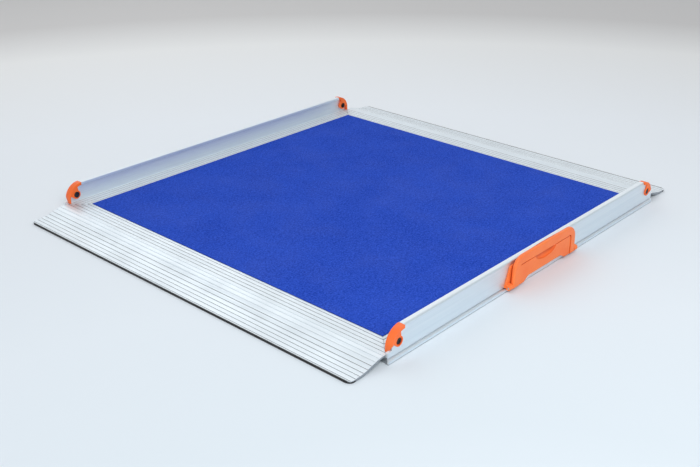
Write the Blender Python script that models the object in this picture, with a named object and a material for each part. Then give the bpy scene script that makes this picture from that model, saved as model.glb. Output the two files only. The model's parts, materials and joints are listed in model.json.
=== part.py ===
# Portable wheelchair ramp: a sandwich deck in a mitred aluminium frame with low side kerbs,
# a sloping lip at each end and a folding carrying handle on one kerb.
# Metres, +Z up. +X runs up the ramp, +Y is its left side, the ramp lies flat on Z = 0 and
# the origin is the middle of its underside.

import math

import bmesh
import bpy
from mathutils import Matrix, Vector

MM = 0.001
PAST = 1.0 * MM                  # how far a cutting shape reaches past what it cuts

# Overall sizes
RAMP_WIDTH = 800.0 * MM          # over the outer faces of the two kerbs
TOE_TO_TOE = 942.0 * MM          # over the tips of the two lips
FRAME_HEIGHT = 14.7 * MM         # walking surface of the frame above the ground
KERB_HEIGHT = 51.0 * MM
FIT = 0.3 * MM                   # gap between pieces that lie against each other

# Frame profiles: side rails and lips share this hollow band round the deck
BAND_WIDTH = 35.0 * MM
BAND_WALL = 2.2 * MM
TONGUE_REACH = 14.0 * MM         # tongue that enters the slot round the deck core
TONGUE_THICKNESS = 2.0 * MM
TONGUE_BOTTOM = 6.2 * MM
RIB_PITCH = 8.35 * MM            # grip grooves along every frame profile
RIB_START = 6.0 * MM             # first groove, from the deck's edge
RIB_WIDTH = 1.3 * MM
RIB_DEPTH = 0.75 * MM

# Kerb part of a side rail
WEB_THICKNESS = 4.0 * MM
KERB_PAST_BAND = 1.0 * MM        # kerb end beyond the end of the band
FLANGE_WIDTH = 10.0 * MM
FLANGE_DEPTH = 6.0 * MM
KERB_TOP_RADIUS = 3.0 * MM
FLANGE_EDGE_RADIUS = 1.0 * MM
FLANGE_ROOT_RADIUS = 1.5 * MM
BEAD_PROUD = 2.7 * MM            # bead along the foot of the outer face
BEAD_HEIGHT = 6.6 * MM
BEAD_GROOVE_DEPTH = 1.3 * MM
BEAD_GROOVE_WIDTH = 2.6 * MM
BEAD_FOOT_RADIUS = 1.0 * MM
BEAD_TOP_RADIUS = 2.0 * MM
BEAD_GROOVE_RADIUS = 0.5 * MM

# Sloping part of a lip
WING_REACH = 75.0 * MM
WING_THICKNESS = 3.3 * MM        # at the shoulder
SHOULDER_FLAT = 2.0 * MM         # level part before the slope begins
TOE_FLAT = 19.0 * MM             # nearly level part at the toe
TOE_FALL = 0.9 * MM              # what it still falls
TOE_HEIGHT = 3.8 * MM
FOOT_LENGTH = 25.0 * MM          # flat underside at the toe, rebated for the rubber
FOOT_CLEARANCE = 0.4 * MM
TOE_CORNER_RADIUS = 10.0 * MM
NOSE_RADIUS = 0.6 * MM
ROOT_RADIUS = 4.5 * MM
CURVE_STEP = 2.8 * MM            # length of the facets along the slope
RUBBER_THICKNESS = 2.2 * MM
RUBBER_WIDTH = 12.0 * MM
RUBBER_EDGE_ROUND = 0.5 * MM

# Deck layers
SKIN_THICKNESS = 1.0 * MM
GRIP_THICKNESS = 1.0 * MM

# Corner keys inside the band and their countersunk screws
KEY_REACH = 62.0 * MM
KEY_SCREW_FROM_CORNER = 50.0 * MM
KEY_SCREW_HEAD_RADIUS = 4.0 * MM
KEY_SCREW_RADIUS = 2.0 * MM
KEY_SCREW_LENGTH = 9.5 * MM
KEY_SCREW_SUNK = 0.2 * MM

# End caps of the kerbs: a band over the web's rounded end, with a lug for a bolt
CAP_RADIUS = 29.5 * MM           # outer arc, which meets the kerb's top
CAP_BAND = 3.4 * MM
CAP_TIP = 5.4 * MM               # height of the band's end at the kerb's top
CAP_RIM = 2.8 * MM               # plastic over the cut edge of the web
CAP_OUTER_PLATE = 2.2 * MM
CAP_PROUD = 0.6 * MM             # past the flange, on the wheels' side
CAP_TIP_SIDE = 4.3 * MM          # height of web that runs on below the cap's outer tip
CAP_TIP_BEVEL = 8.0 * MM         # height over which the outer tip thins
CAP_TIP_THIN = 0.8 * MM          # its plastic at the lower end
CAP_NECK_LOW_DEG = 15            # where the band widens to the lug, round the arc's centre
CAP_NECK_HIGH_DEG = 68
CAP_EDGE_ROUND = 0.7 * MM
LUG_RADIUS = 8.6 * MM
LUG_LOW_DEG = -38                # where the band meets the lug, round the bolt
LUG_HIGH_DEG = 122
BOLT_FROM_ARC = 12.7 * MM        # bolt axis outward of the arc's centre
BOLT_HEIGHT = 29.5 * MM
COUNTERBORE_RADIUS = 6.4 * MM
COUNTERBORE_FLOOR = 0.4 * MM
BOLT_RADIUS = 2.5 * MM
BOLT_HEAD_RADIUS = 5.0 * MM
BOLT_HEAD_HEIGHT = 0.9 * MM
BOLT_HEAD_EDGE = 0.3 * MM
BOLT_SOCKET_RADIUS = 2.1 * MM
BOLT_SOCKET_DEPTH = 0.7 * MM
BOLT_LENGTH = 10.0 * MM
NUT_FLANGE_RADIUS = 5.8 * MM
NUT_FLANGE_HEIGHT = 1.8 * MM
NUT_SLEEVE_RADIUS = 4.2 * MM

# Carrying handle: a back plate with a raised panel, and a bail round the panel
PLATE_THICKNESS = 2.4 * MM
PLATE_OVER_BEAD = 2.0 * MM
PLATE_TOP = 44.6 * MM
PLATE_CORNER_RADIUS = 2.5 * MM
PLATE_BOTTOM_LENGTH = 216.0 * MM
PLATE_TOP_LENGTH = 190.0 * MM
BAIL_BOTTOM_LENGTH = 189.0 * MM
BAIL_TOP_LENGTH = 184.0 * MM
BAIL_GAP_LENGTH = 159.0 * MM     # between the two legs
BAIL_THICKNESS = 7.2 * MM
BAIL_OFF_PLATE = 0.9 * MM
BAIL_TOP = 58.2 * MM
BAIL_CROWN = 0.9 * MM            # the bar swells in the middle, upwards
BAR_UNDERSIDE = 43.2 * MM
GRIP_LENGTH = 120.0 * MM         # length over which it swells
BAIL_CORNER_RADIUS = 22.0 * MM
BAIL_EDGE_ROUND = 2.6 * MM
GAP_CORNER_RADIUS = 5.0 * MM
GAP_EDGE_ROUND = 0.8 * MM
PANEL_GAP = 1.2 * MM             # between the panel and the bail
PANEL_BEHIND_BAIL = 1.2 * MM
PANEL_EDGE_ROUND = 0.7 * MM
PANEL_FOOT = 5.8 * MM
PANEL_ARCH = 13.4 * MM           # the panel's lower edge arches between its two feet
PANEL_ARCH_LENGTH = 100.0 * MM
PANEL_FEET_APART = 126.0 * MM
PANEL_FOOT_RADIUS = 1.8 * MM
PANEL_ARCH_RADIUS = 3.0 * MM
SCOOP_LENGTH = 62.0 * MM         # finger recess at the top of the panel
SCOOP_HEIGHT = 12.4 * MM
SCOOP_DEPTH = 7.4 * MM
SCOOP_ABOVE = 0.5 * MM           # its middle above the panel's top edge
SCOOP_FLATNESS = 0.6             # 1 is a round bowl, less is flatter
HINGE_HEIGHT = 8.8 * MM
PIN_RADIUS = 1.5 * MM
EAR_LENGTH = 9.5 * MM            # ears of the base, which hold the hinge pins
EAR_GAP = 0.5 * MM
EAR_FRONT_RADIUS = 3.2 * MM
EAR_BACK_RADIUS = 0.5 * MM
EAR_RISE = 6.5 * MM              # height of the ears' foot on the plate above the hinge
HANDLE_SCREW_SPACING = 40.0 * MM
HANDLE_SCREW_COUNT = 4
HANDLE_SCREW_HEIGHT = 24.0 * MM
HANDLE_SCREW_RADIUS = 2.0 * MM
HANDLE_SCREW_HEAD_RADIUS = 4.0 * MM
HANDLE_SCREW_HEAD_HEIGHT = 2.2 * MM
HANDLE_SCREW_HEAD_EDGE = 0.6 * MM
HANDLE_SCREW_BITE = 5.6 * MM

# Places that follow from the sizes. Distances run outward from the middle of the ramp.
KERB_FACE = RAMP_WIDTH / 2
WEB_INNER = KERB_FACE - WEB_THICKNESS
DECK_HALF_WIDTH = WEB_INNER - BAND_WIDTH
TOE = TOE_TO_TOE / 2
BAND_END = TOE - WING_REACH
DECK_HALF_LENGTH = BAND_END - BAND_WIDTH
KERB_END = BAND_END + KERB_PAST_BAND
FLANGE_EDGE = KERB_FACE - FLANGE_WIDTH
FLANGE_FOOT = KERB_HEIGHT - FLANGE_DEPTH
BEAD_GROOVE_TOP = BEAD_HEIGHT + BEAD_GROOVE_WIDTH
BEAD_CLEAR = BEAD_PROUD + 2 * FIT
TONGUE_TOP = TONGUE_BOTTOM + TONGUE_THICKNESS
MITRE_GAP = FIT / math.sqrt(2)
CAP_ARC = (DECK_HALF_LENGTH, KERB_HEIGHT - CAP_RADIUS)
CAP_FOOT = FRAME_HEIGHT + FIT
CAP_INNER_FACE = FLANGE_EDGE - CAP_PROUD
CAP_FACE = KERB_FACE + FIT + CAP_OUTER_PLATE
WEB_ARC_RADIUS = CAP_RADIUS - CAP_RIM - FIT
WEB_STEP = FRAME_HEIGHT + CAP_TIP_SIDE
BOLT_X = CAP_ARC[0] + BOLT_FROM_ARC
BOLT_SEAT = FIT + COUNTERBORE_FLOOR + FIT
PLATE_BOTTOM = BEAD_HEIGHT + PLATE_OVER_BEAD
BAIL_BACK = FIT + PLATE_THICKNESS + BAIL_OFF_PLATE
BAIL_FRONT = BAIL_BACK + BAIL_THICKNESS
BAIL_FOOT = HINGE_HEIGHT - BAIL_THICKNESS / 2
HINGE_OFF_KERB = BAIL_BACK + BAIL_THICKNESS / 2
PANEL_FRONT = BAIL_FRONT - PANEL_BEHIND_BAIL
PANEL_TOP = BAR_UNDERSIDE - PANEL_GAP
EAR_INNER = BAIL_BOTTOM_LENGTH / 2 + EAR_GAP
EAR_OUTER = EAR_INNER + EAR_LENGTH


# Outlines

def rounded(corners, steps=4):
    # Corners are (a, b, radius); a radius turns that corner into an arc.
    outline = []
    for i, (a, b, radius) in enumerate(corners):
        here = Vector((a, b))
        if radius == 0:
            outline.append(here)
            continue
        before = Vector(corners[i - 1][:2]) - here
        after = Vector(corners[(i + 1) % len(corners)][:2]) - here
        before.normalize()
        after.normalize()
        half = before.angle(after) / 2
        centre = here + (before + after).normalized() * (radius / math.sin(half))
        start = here + before * (radius / math.tan(half)) - centre
        end = here + after * (radius / math.tan(half)) - centre
        sweep = start.angle_signed(end)
        for step in range(steps + 1):
            outline.append(centre + Matrix.Rotation(-sweep * step / steps, 2) @ start)
    return outline


def arc(centre, radius, first_deg, last_deg, steps):
    # Points on an arc, ends included, angles anticlockwise from the first axis.
    points = []
    for step in range(steps + 1):
        angle = math.radians(first_deg + (last_deg - first_deg) * step / steps)
        points.append((centre[0] + radius * math.cos(angle), centre[1] + radius * math.sin(angle)))
    return points


def sharp(points):
    return [(a, b, 0) for a, b in points]


def groove_places(last):
    places = []
    place = RIB_START
    while place + RIB_WIDTH < last:
        places.append(place)
        place += RIB_PITCH
    return places


def grooved(start, end, surface, spacing):
    # Outline of a grooved surface from start to end, both measured out from the middle.
    # surface(distance) gives its height; the grooves are counted from the deck's edge at start.
    grooves = [start + place for place in groove_places(end - start)]
    points = [(start, surface(start))]
    count = max(1, round((end - start) / spacing))
    plain = [start + (end - start) * i / count for i in range(1, count)]
    plain = [p for p in plain if all(abs(p - g) > RIB_WIDTH for g in grooves)]
    for groove in grooves:
        for offset, depth in ((-0.5, 0), (-0.38, 1), (0.38, 1), (0.5, 0)):
            place = groove + offset * RIB_WIDTH
            points.append((place, surface(place) - depth * RIB_DEPTH))
    points += [(p, surface(p)) for p in plain]
    points.append((end, surface(end)))
    return sorted(points)


# Meshes

def mesh_from(name, bm):
    bmesh.ops.recalc_face_normals(bm, faces=bm.faces)
    mesh = bpy.data.meshes.new(name)
    bm.to_mesh(mesh)
    bm.free()
    return mesh


def prism(outline, axis, start, end):
    # Outline coordinates: (y, z) along X, (x, z) along Y, (x, y) along Z.
    bm = bmesh.new()
    corners = []
    for a, b in (point[:2] for point in outline):
        place = {'X': (start, a, b), 'Y': (a, start, b), 'Z': (a, b, start)}[axis]
        corners.append(bm.verts.new(place))
    face = bm.faces.new(corners)
    moved = bmesh.ops.extrude_face_region(bm, geom=[face])
    direction = {'X': Vector((1, 0, 0)), 'Y': Vector((0, 1, 0)), 'Z': Vector((0, 0, 1))}[axis]
    lifted = [v for v in moved['geom'] if isinstance(v, bmesh.types.BMVert)]
    bmesh.ops.translate(bm, verts=lifted, vec=direction * (end - start))
    return mesh_from('prism', bm)


def box(low, high):
    return prism([(low[0], low[1]), (high[0], low[1]), (high[0], high[1]), (low[0], high[1])],
                 'Z', low[2], high[2])


def turned(profile, sides):
    # Solid of revolution about Z; the profile runs (radius, z) from bottom to top, radius 0
    # at both ends.
    bm = bmesh.new()
    rings = []
    for radius, z in profile[1:-1]:
        ring = []
        for i in range(sides):
            angle = 2 * math.pi * i / sides
            ring.append(bm.verts.new((radius * math.cos(angle), radius * math.sin(angle), z)))
        rings.append(ring)
    for lower, upper in zip(rings, rings[1:]):
        for i in range(sides):
            j = (i + 1) % sides
            bm.faces.new((lower[i], lower[j], upper[j], upper[i]))
    for ring, (_, z) in ((rings[0], profile[0]), (rings[-1], profile[-1])):
        if abs(z - ring[0].co.z) < 1e-7:
            bm.faces.new(ring)
            continue
        tip = bm.verts.new((0, 0, z))
        for i in range(sides):
            bm.faces.new((ring[i], ring[(i + 1) % sides], tip))
    return mesh_from('turned', bm)


def rod(radius, low, high, sides=24):
    return turned([(0, low), (radius, low), (radius, high), (0, high)], sides)


def stacked(levels):
    # Rectangular solid whose outline changes with height; levels are (half x, half y, z).
    bm = bmesh.new()
    rings = []
    for half_x, half_y, z in levels:
        signs = ((-1, -1), (1, -1), (1, 1), (-1, 1))
        rings.append([bm.verts.new((sx * half_x, sy * half_y, z)) for sx, sy in signs])
    for lower, upper in zip(rings, rings[1:]):
        for i in range(4):
            j = (i + 1) % 4
            bm.faces.new((lower[i], lower[j], upper[j], upper[i]))
    bm.faces.new(rings[0])
    bm.faces.new(rings[-1])
    return mesh_from('stacked', bm)


def turn(mesh, degrees, axis):
    mesh.transform(Matrix.Rotation(math.radians(degrees), 4, axis))
    return mesh


def shift(mesh, x, y, z):
    mesh.transform(Matrix.Translation((x, y, z)))
    return mesh


def mirrored(mesh, sign_x, sign_y):
    copy = mesh.copy()
    copy.transform(Matrix.Diagonal((sign_x, sign_y, 1, 1)))
    if sign_x * sign_y < 0:
        copy.flip_normals()
    return copy


def joined(meshes):
    bm = bmesh.new()
    for mesh in meshes:
        bm.from_mesh(mesh)
    return mesh_from('joined', bm)


def evaluated(obj):
    graph = bpy.context.evaluated_depsgraph_get()
    mesh = bpy.data.meshes.new_from_object(obj.evaluated_get(graph))
    bpy.data.objects.remove(obj)
    return mesh


def combine(mesh, tool, operation):
    # Boolean of two closed meshes; the result is a plain mesh.
    target = bpy.data.objects.new('target', mesh)
    cutter = bpy.data.objects.new('cutter', tool)
    for obj in (target, cutter):
        bpy.context.scene.collection.objects.link(obj)
    modifier = target.modifiers.new('boolean', 'BOOLEAN')
    modifier.operation = operation
    modifier.solver = 'EXACT'
    modifier.object = cutter
    result = evaluated(target)
    bpy.data.objects.remove(cutter)
    return result


def cut(mesh, *tools):
    for tool in tools:
        mesh = combine(mesh, tool, 'DIFFERENCE')
    return mesh


def rounded_edges(mesh, width, segments, wanted=None):
    # Rounds the sharp edges, or those of them whose middle is wanted.
    bm = bmesh.new()
    bm.from_mesh(mesh)
    edges = [edge for edge in bm.edges if edge.calc_face_angle() > math.radians(50)]
    if wanted:
        edges = [edge for edge in edges if wanted((edge.verts[0].co + edge.verts[1].co) / 2)]
    bmesh.ops.bevel(bm, geom=edges, offset=width, segments=segments, profile=0.5,
                    affect='EDGES', clamp_overlap=True)
    return mesh_from('rounded', bm)


# Scene

def material(name, colour, roughness, metallic):
    made = bpy.data.materials.new(name)
    made.use_nodes = True
    shader = made.node_tree.nodes['Principled BSDF']
    shader.inputs['Base Color'].default_value = (*colour, 1)
    shader.inputs['Roughness'].default_value = roughness
    shader.inputs['Metallic'].default_value = metallic
    return made


LOOKS = {
    'aluminium': ((0.76, 0.80, 0.83), 0.38, 1.0),
    'skin': ((0.70, 0.72, 0.74), 0.45, 1.0),
    'core': ((0.62, 0.49, 0.33), 0.8, 0.0),
    'blue_grit': ((0.03, 0.07, 0.45), 0.85, 0.0),
    'orange_plastic': ((0.93, 0.19, 0.06), 0.45, 0.0),
    'black_steel': ((0.02, 0.02, 0.022), 0.4, 0.8),
    'steel': ((0.6, 0.6, 0.6), 0.35, 1.0),
    'rubber': ((0.02, 0.02, 0.02), 0.85, 0.0),
}


def add(name, mesh, look, parent, location=(0, 0, 0), turned_deg=0):
    # Each piece gets its own material; turned_deg turns it about its own vertical axis.
    mesh.name = name
    colour, roughness, metallic = LOOKS[look]
    mesh.materials.clear()
    mesh.materials.append(material(name, colour, roughness, metallic))
    mesh.shade_smooth()
    mesh.set_sharp_from_angle(angle=math.radians(30))
    obj = bpy.data.objects.new(name, mesh)
    bpy.context.scene.collection.objects.link(obj)
    obj.parent = parent
    obj.location = location
    obj.rotation_euler = (0, 0, math.radians(turned_deg))
    return obj


def empty(name, location=(0, 0, 0), parent=None):
    obj = bpy.data.objects.new(name, None)
    bpy.context.scene.collection.objects.link(obj)
    obj.location = location
    obj.parent = parent
    return obj


# Frame profiles

def key_screw():
    # Countersunk, driven from the ground side.
    profile = [(0, KEY_SCREW_SUNK), (KEY_SCREW_HEAD_RADIUS, KEY_SCREW_SUNK),
               (KEY_SCREW_RADIUS, BAND_WALL), (KEY_SCREW_RADIUS, KEY_SCREW_LENGTH),
               (0, KEY_SCREW_LENGTH)]
    return turned(profile, 24)


def key_screw_holes(places):
    head, shank = KEY_SCREW_HEAD_RADIUS + FIT, KEY_SCREW_RADIUS + FIT
    profile = [(0, -PAST), (head, -PAST), (head, KEY_SCREW_SUNK), (shank, BAND_WALL),
               (shank, BAND_WALL + PAST), (0, BAND_WALL + PAST)]
    return joined([shift(turned(profile, 24), x, y, 0) for x, y in places])


def rail_outline():
    bead = KERB_FACE + BEAD_PROUD
    corners = [
        (DECK_HALF_WIDTH, 0, 0),
        (bead, 0, BEAD_FOOT_RADIUS),
        (bead, BEAD_HEIGHT, BEAD_TOP_RADIUS),
        (KERB_FACE - BEAD_GROOVE_DEPTH, BEAD_HEIGHT + BEAD_GROOVE_WIDTH / 2, BEAD_GROOVE_RADIUS),
        (KERB_FACE, BEAD_GROOVE_TOP, BEAD_GROOVE_RADIUS),
        (KERB_FACE, KERB_HEIGHT, KERB_TOP_RADIUS),
        (FLANGE_EDGE, KERB_HEIGHT, FLANGE_EDGE_RADIUS),
        (FLANGE_EDGE, FLANGE_FOOT, FLANGE_EDGE_RADIUS),
        (WEB_INNER, FLANGE_FOOT, FLANGE_ROOT_RADIUS),
    ]
    strip = grooved(DECK_HALF_WIDTH, WEB_INNER, lambda place: FRAME_HEIGHT, BAND_WIDTH)
    corners += sharp(reversed(strip))
    corners += sharp([(DECK_HALF_WIDTH, TONGUE_TOP), (DECK_HALF_WIDTH - TONGUE_REACH, TONGUE_TOP),
                      (DECK_HALF_WIDTH - TONGUE_REACH, TONGUE_BOTTOM),
                      (DECK_HALF_WIDTH, TONGUE_BOTTOM)])
    return rounded(corners)


def chamber_outline(edge):
    low, high = edge + BAND_WALL, edge + BAND_WIDTH - BAND_WALL
    return [(low, BAND_WALL), (high, BAND_WALL), (high, FRAME_HEIGHT - BAND_WALL),
            (low, FRAME_HEIGHT - BAND_WALL)]


def rail_plan():
    # Seen from above: mitred across the band, square at the kerb.
    inside = TONGUE_REACH + PAST
    slant = DECK_HALF_LENGTH - inside - MITRE_GAP
    corner = (BAND_END - MITRE_GAP, WEB_INNER)
    outside = KERB_FACE + BEAD_PROUD + PAST
    half = [(slant, DECK_HALF_WIDTH - inside), corner, (KERB_END, WEB_INNER), (KERB_END, outside)]
    return half + [(-x, y) for x, y in reversed(half)]


def kerb_end_tool(sign):
    # Clears the kerb beyond the cap's arc, down to the step under the cap's tip.
    x, z = CAP_ARC
    far, above = KERB_END + CAP_RADIUS, KERB_HEIGHT + CAP_RADIUS
    outline = [(x - FIT, above), (far, above), (far, WEB_STEP), (x + WEB_ARC_RADIUS, WEB_STEP)]
    outline += arc(CAP_ARC, WEB_ARC_RADIUS, 0, 90, 12)
    outline += [(x - FIT, z + WEB_ARC_RADIUS)]
    outline = [(sign * a, b) for a, b in outline]
    return prism(outline, 'Y', FLANGE_EDGE - PAST, KERB_FACE + PAST)


def flange_end_tool(sign):
    # The flange stops where the cap begins.
    low, high = sorted((sign * (CAP_ARC[0] - FIT), sign * (KERB_END + PAST)))
    foot = FLANGE_FOOT - FLANGE_ROOT_RADIUS - PAST
    return box((low, FLANGE_EDGE - PAST, foot), (high, WEB_INNER, KERB_HEIGHT + PAST))


def bolt_holes():
    holes = []
    for sign in (-1, 1):
        hole = turn(rod(BOLT_RADIUS + FIT, WEB_INNER - PAST, KERB_FACE + PAST), -90, 'X')
        holes.append(shift(hole, sign * BOLT_X, 0, BOLT_HEIGHT))
    return joined(holes)


def side_rail():
    # Modelled on the +Y side.
    mesh = prism(rail_outline(), 'X', -KERB_END, KERB_END)
    mesh = combine(mesh, prism(rail_plan(), 'Z', -PAST, KERB_HEIGHT + PAST), 'INTERSECT')
    chamber = prism(chamber_outline(DECK_HALF_WIDTH), 'X', -TOE, TOE)
    along = BAND_END - KEY_SCREW_FROM_CORNER
    across = WEB_INNER - BAND_WIDTH / 2
    return cut(mesh, chamber, kerb_end_tool(-1), kerb_end_tool(1), flange_end_tool(-1),
               flange_end_tool(1), bolt_holes(), key_screw_holes([(-along, across), (along, across)]))


def slope_part(place, end):
    # Smooth fall from 0 at the shoulder to 1 at the end.
    start = BAND_END + SHOULDER_FLAT
    part = min(1, max(0, (place - start) / (end - start)))
    return part * part * (3 - 2 * part)


def lip_top(place):
    toe_part = max(0, 1 - (TOE - place) / TOE_FLAT)
    fall = FRAME_HEIGHT - TOE_HEIGHT - TOE_FALL
    return FRAME_HEIGHT - fall * slope_part(place, TOE - TOE_FLAT) - TOE_FALL * toe_part


def lip_underside(place):
    fall = FRAME_HEIGHT - WING_THICKNESS - FOOT_CLEARANCE
    return FRAME_HEIGHT - WING_THICKNESS - fall * slope_part(place, TOE - FOOT_LENGTH)


def lip_outline():
    corners = [(DECK_HALF_LENGTH, 0, 0), (BAND_END, 0, 0),
               (BAND_END, lip_underside(BAND_END), ROOT_RADIUS)]
    root, foot, steps = BAND_END + 2 * ROOT_RADIUS, TOE - FOOT_LENGTH, 12
    under = [root + (foot - root) * i / steps for i in range(steps + 1)]
    corners += sharp([(place, lip_underside(place)) for place in under])
    rebate, seat = TOE - RUBBER_WIDTH - FIT, RUBBER_THICKNESS + FIT
    corners += [(rebate, FOOT_CLEARANCE, 0), (rebate, seat, 0), (TOE, seat, 0),
                (TOE, lip_top(TOE), NOSE_RADIUS)]
    top = grooved(DECK_HALF_LENGTH, TOE - 2 * NOSE_RADIUS, lip_top, CURVE_STEP)
    corners += sharp(reversed(top))
    corners += sharp([(DECK_HALF_LENGTH, TONGUE_TOP), (DECK_HALF_LENGTH - TONGUE_REACH, TONGUE_TOP),
                      (DECK_HALF_LENGTH - TONGUE_REACH, TONGUE_BOTTOM),
                      (DECK_HALF_LENGTH, TONGUE_BOTTOM)])
    return rounded(corners)


def lip_plan():
    # Seen from above: mitred across the band, rounded at the toe.
    inside = TONGUE_REACH + PAST
    half_width = WEB_INNER - FIT
    slant = (DECK_HALF_LENGTH - inside, DECK_HALF_WIDTH - inside - MITRE_GAP)
    corner = (BAND_END - FIT + MITRE_GAP, half_width)
    right = [(slant[0], slant[1], 0), (corner[0], corner[1], 0),
             (TOE, half_width, TOE_CORNER_RADIUS)]
    left = [(x, -y, radius) for x, y, radius in reversed(right)]
    return rounded(right + left, 6)


def lip():
    # Modelled at the +X end.
    mesh = prism(lip_outline(), 'Y', -WEB_INNER, WEB_INNER)
    mesh = combine(mesh, prism(lip_plan(), 'Z', -PAST, FRAME_HEIGHT + PAST), 'INTERSECT')
    chamber = prism(chamber_outline(DECK_HALF_LENGTH), 'Y', -TOE, TOE)
    along = BAND_END - BAND_WIDTH / 2
    across = WEB_INNER - KEY_SCREW_FROM_CORNER
    return cut(mesh, chamber, key_screw_holes([(along, -across), (along, across)]))


def lip_rubber():
    half_width = WEB_INNER - FIT - TOE_CORNER_RADIUS
    strip = box((TOE - RUBBER_WIDTH, -half_width, 0), (TOE, half_width, RUBBER_THICKNESS))
    return rounded_edges(strip, RUBBER_EDGE_ROUND, 2)


# Deck

def deck_sheet(bottom, thickness):
    half_x, half_y = DECK_HALF_LENGTH - FIT, DECK_HALF_WIDTH - FIT
    return box((-half_x, -half_y, bottom), (half_x, half_y, bottom + thickness))


def deck_core():
    # The slot round the edge takes the tongues of the frame profiles.
    bottom = SKIN_THICKNESS + FIT
    top = FRAME_HEIGHT - FIT - SKIN_THICKNESS - FIT
    wide = (DECK_HALF_LENGTH - FIT, DECK_HALF_WIDTH - FIT)
    narrow = (wide[0] - TONGUE_REACH, wide[1] - TONGUE_REACH)
    slot_low, slot_high = TONGUE_BOTTOM - FIT, TONGUE_TOP + FIT
    return stacked([(*wide, bottom), (*wide, slot_low), (*narrow, slot_low), (*narrow, slot_high),
                    (*wide, slot_high), (*wide, top)])


# Corner keys. The origin is the outer corner of the band, the arms run towards -X and -Y.

def key_screw_places():
    return [(-KEY_SCREW_FROM_CORNER, -BAND_WIDTH / 2), (-BAND_WIDTH / 2, -KEY_SCREW_FROM_CORNER)]


def corner_key():
    near, wide = BAND_WALL + FIT, BAND_WIDTH - BAND_WALL - FIT
    outline = [(-near, -near), (-KEY_REACH, -near), (-KEY_REACH, -wide), (-wide, -wide),
               (-wide, -KEY_REACH), (-near, -KEY_REACH)]
    mesh = prism(outline, 'Z', BAND_WALL + FIT, FRAME_HEIGHT - BAND_WALL - FIT)
    holes = [shift(rod(KEY_SCREW_RADIUS + FIT, 0, FRAME_HEIGHT), x, y, 0)
             for x, y in key_screw_places()]
    return cut(mesh, joined(holes))


# Kerb end caps. Modelled for the +X end of the +Y kerb, the origin is on the bolt's axis at
# the kerb's outer face.

def cap_outline():
    inner = CAP_RADIUS - CAP_BAND
    outline = arc(CAP_ARC, CAP_RADIUS, 90, 0, 16)
    outline += [(CAP_ARC[0] + CAP_RADIUS, CAP_FOOT), (CAP_ARC[0] + inner, CAP_FOOT)]
    outline += arc(CAP_ARC, inner, 0, CAP_NECK_LOW_DEG, 2)
    outline += arc((BOLT_X, BOLT_HEIGHT), LUG_RADIUS, LUG_LOW_DEG, LUG_HIGH_DEG - 360, 14)
    outline += arc(CAP_ARC, CAP_RADIUS - CAP_TIP, CAP_NECK_HIGH_DEG, 90, 3)
    return outline


def web_slot():
    # Room for the web's rounded end and for the step of web below the cap's outer tip, and the
    # bevel that thins this tip.
    x, z = CAP_ARC
    radius, step, low = WEB_ARC_RADIUS + FIT, WEB_STEP + FIT, CAP_FOOT - CAP_RIM
    before, past = x - CAP_RIM, x + CAP_RADIUS + CAP_RIM
    outline = arc(CAP_ARC, radius, 90, 0, 16)
    outline += [(x + radius, step), (past, step), (past, low), (before, low), (before, z + radius)]
    slot = prism(outline, 'Y', WEB_INNER - FIT, KERB_FACE + FIT)
    below = box((before, KERB_FACE, low), (past, CAP_FACE + PAST, step))
    neck = x + (CAP_RADIUS - CAP_BAND) * math.cos(math.radians(CAP_NECK_LOW_DEG))
    bevel = [(KERB_FACE + FIT + CAP_TIP_THIN, step - PAST), (CAP_FACE + PAST, step - PAST),
             (CAP_FACE + PAST, step + CAP_TIP_BEVEL), (CAP_FACE, step + CAP_TIP_BEVEL),
             (KERB_FACE + FIT + CAP_TIP_THIN, step)]
    return slot, below, prism(bevel, 'X', neck, past)


def end_cap():
    mesh = prism(cap_outline(), 'Y', CAP_INNER_FACE, CAP_FACE)
    mesh = rounded_edges(mesh, CAP_EDGE_ROUND, 2)
    floor = KERB_FACE + FIT + COUNTERBORE_FLOOR
    bore = turn(rod(BOLT_RADIUS + FIT, WEB_INNER, CAP_FACE + PAST, 16), -90, 'X')
    counterbore = turn(rod(COUNTERBORE_RADIUS, floor, CAP_FACE + PAST), -90, 'X')
    sleeve = turn(rod(NUT_SLEEVE_RADIUS + FIT, CAP_INNER_FACE - PAST, WEB_INNER, 16), -90, 'X')
    tools = [shift(tool, BOLT_X, 0, BOLT_HEIGHT) for tool in (bore, counterbore, sleeve)]
    mesh = cut(mesh, *web_slot(), *tools)
    return shift(mesh, -BOLT_X, -KERB_FACE, -BOLT_HEIGHT)


def cap_bolt():
    # Along Y, pointing out at +Y, the origin as the cap's.
    top = BOLT_SEAT + BOLT_HEAD_HEIGHT
    profile = [(0, BOLT_SEAT - BOLT_LENGTH), (BOLT_RADIUS, BOLT_SEAT - BOLT_LENGTH),
               (BOLT_RADIUS, BOLT_SEAT), (BOLT_HEAD_RADIUS, BOLT_SEAT),
               (BOLT_HEAD_RADIUS, top - BOLT_HEAD_EDGE), (BOLT_HEAD_RADIUS - BOLT_HEAD_EDGE, top),
               (0, top)]
    socket = rod(BOLT_SOCKET_RADIUS, top - BOLT_SOCKET_DEPTH, top + PAST, 6)
    return turn(cut(turned(profile, 20), socket), -90, 'X')


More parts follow.
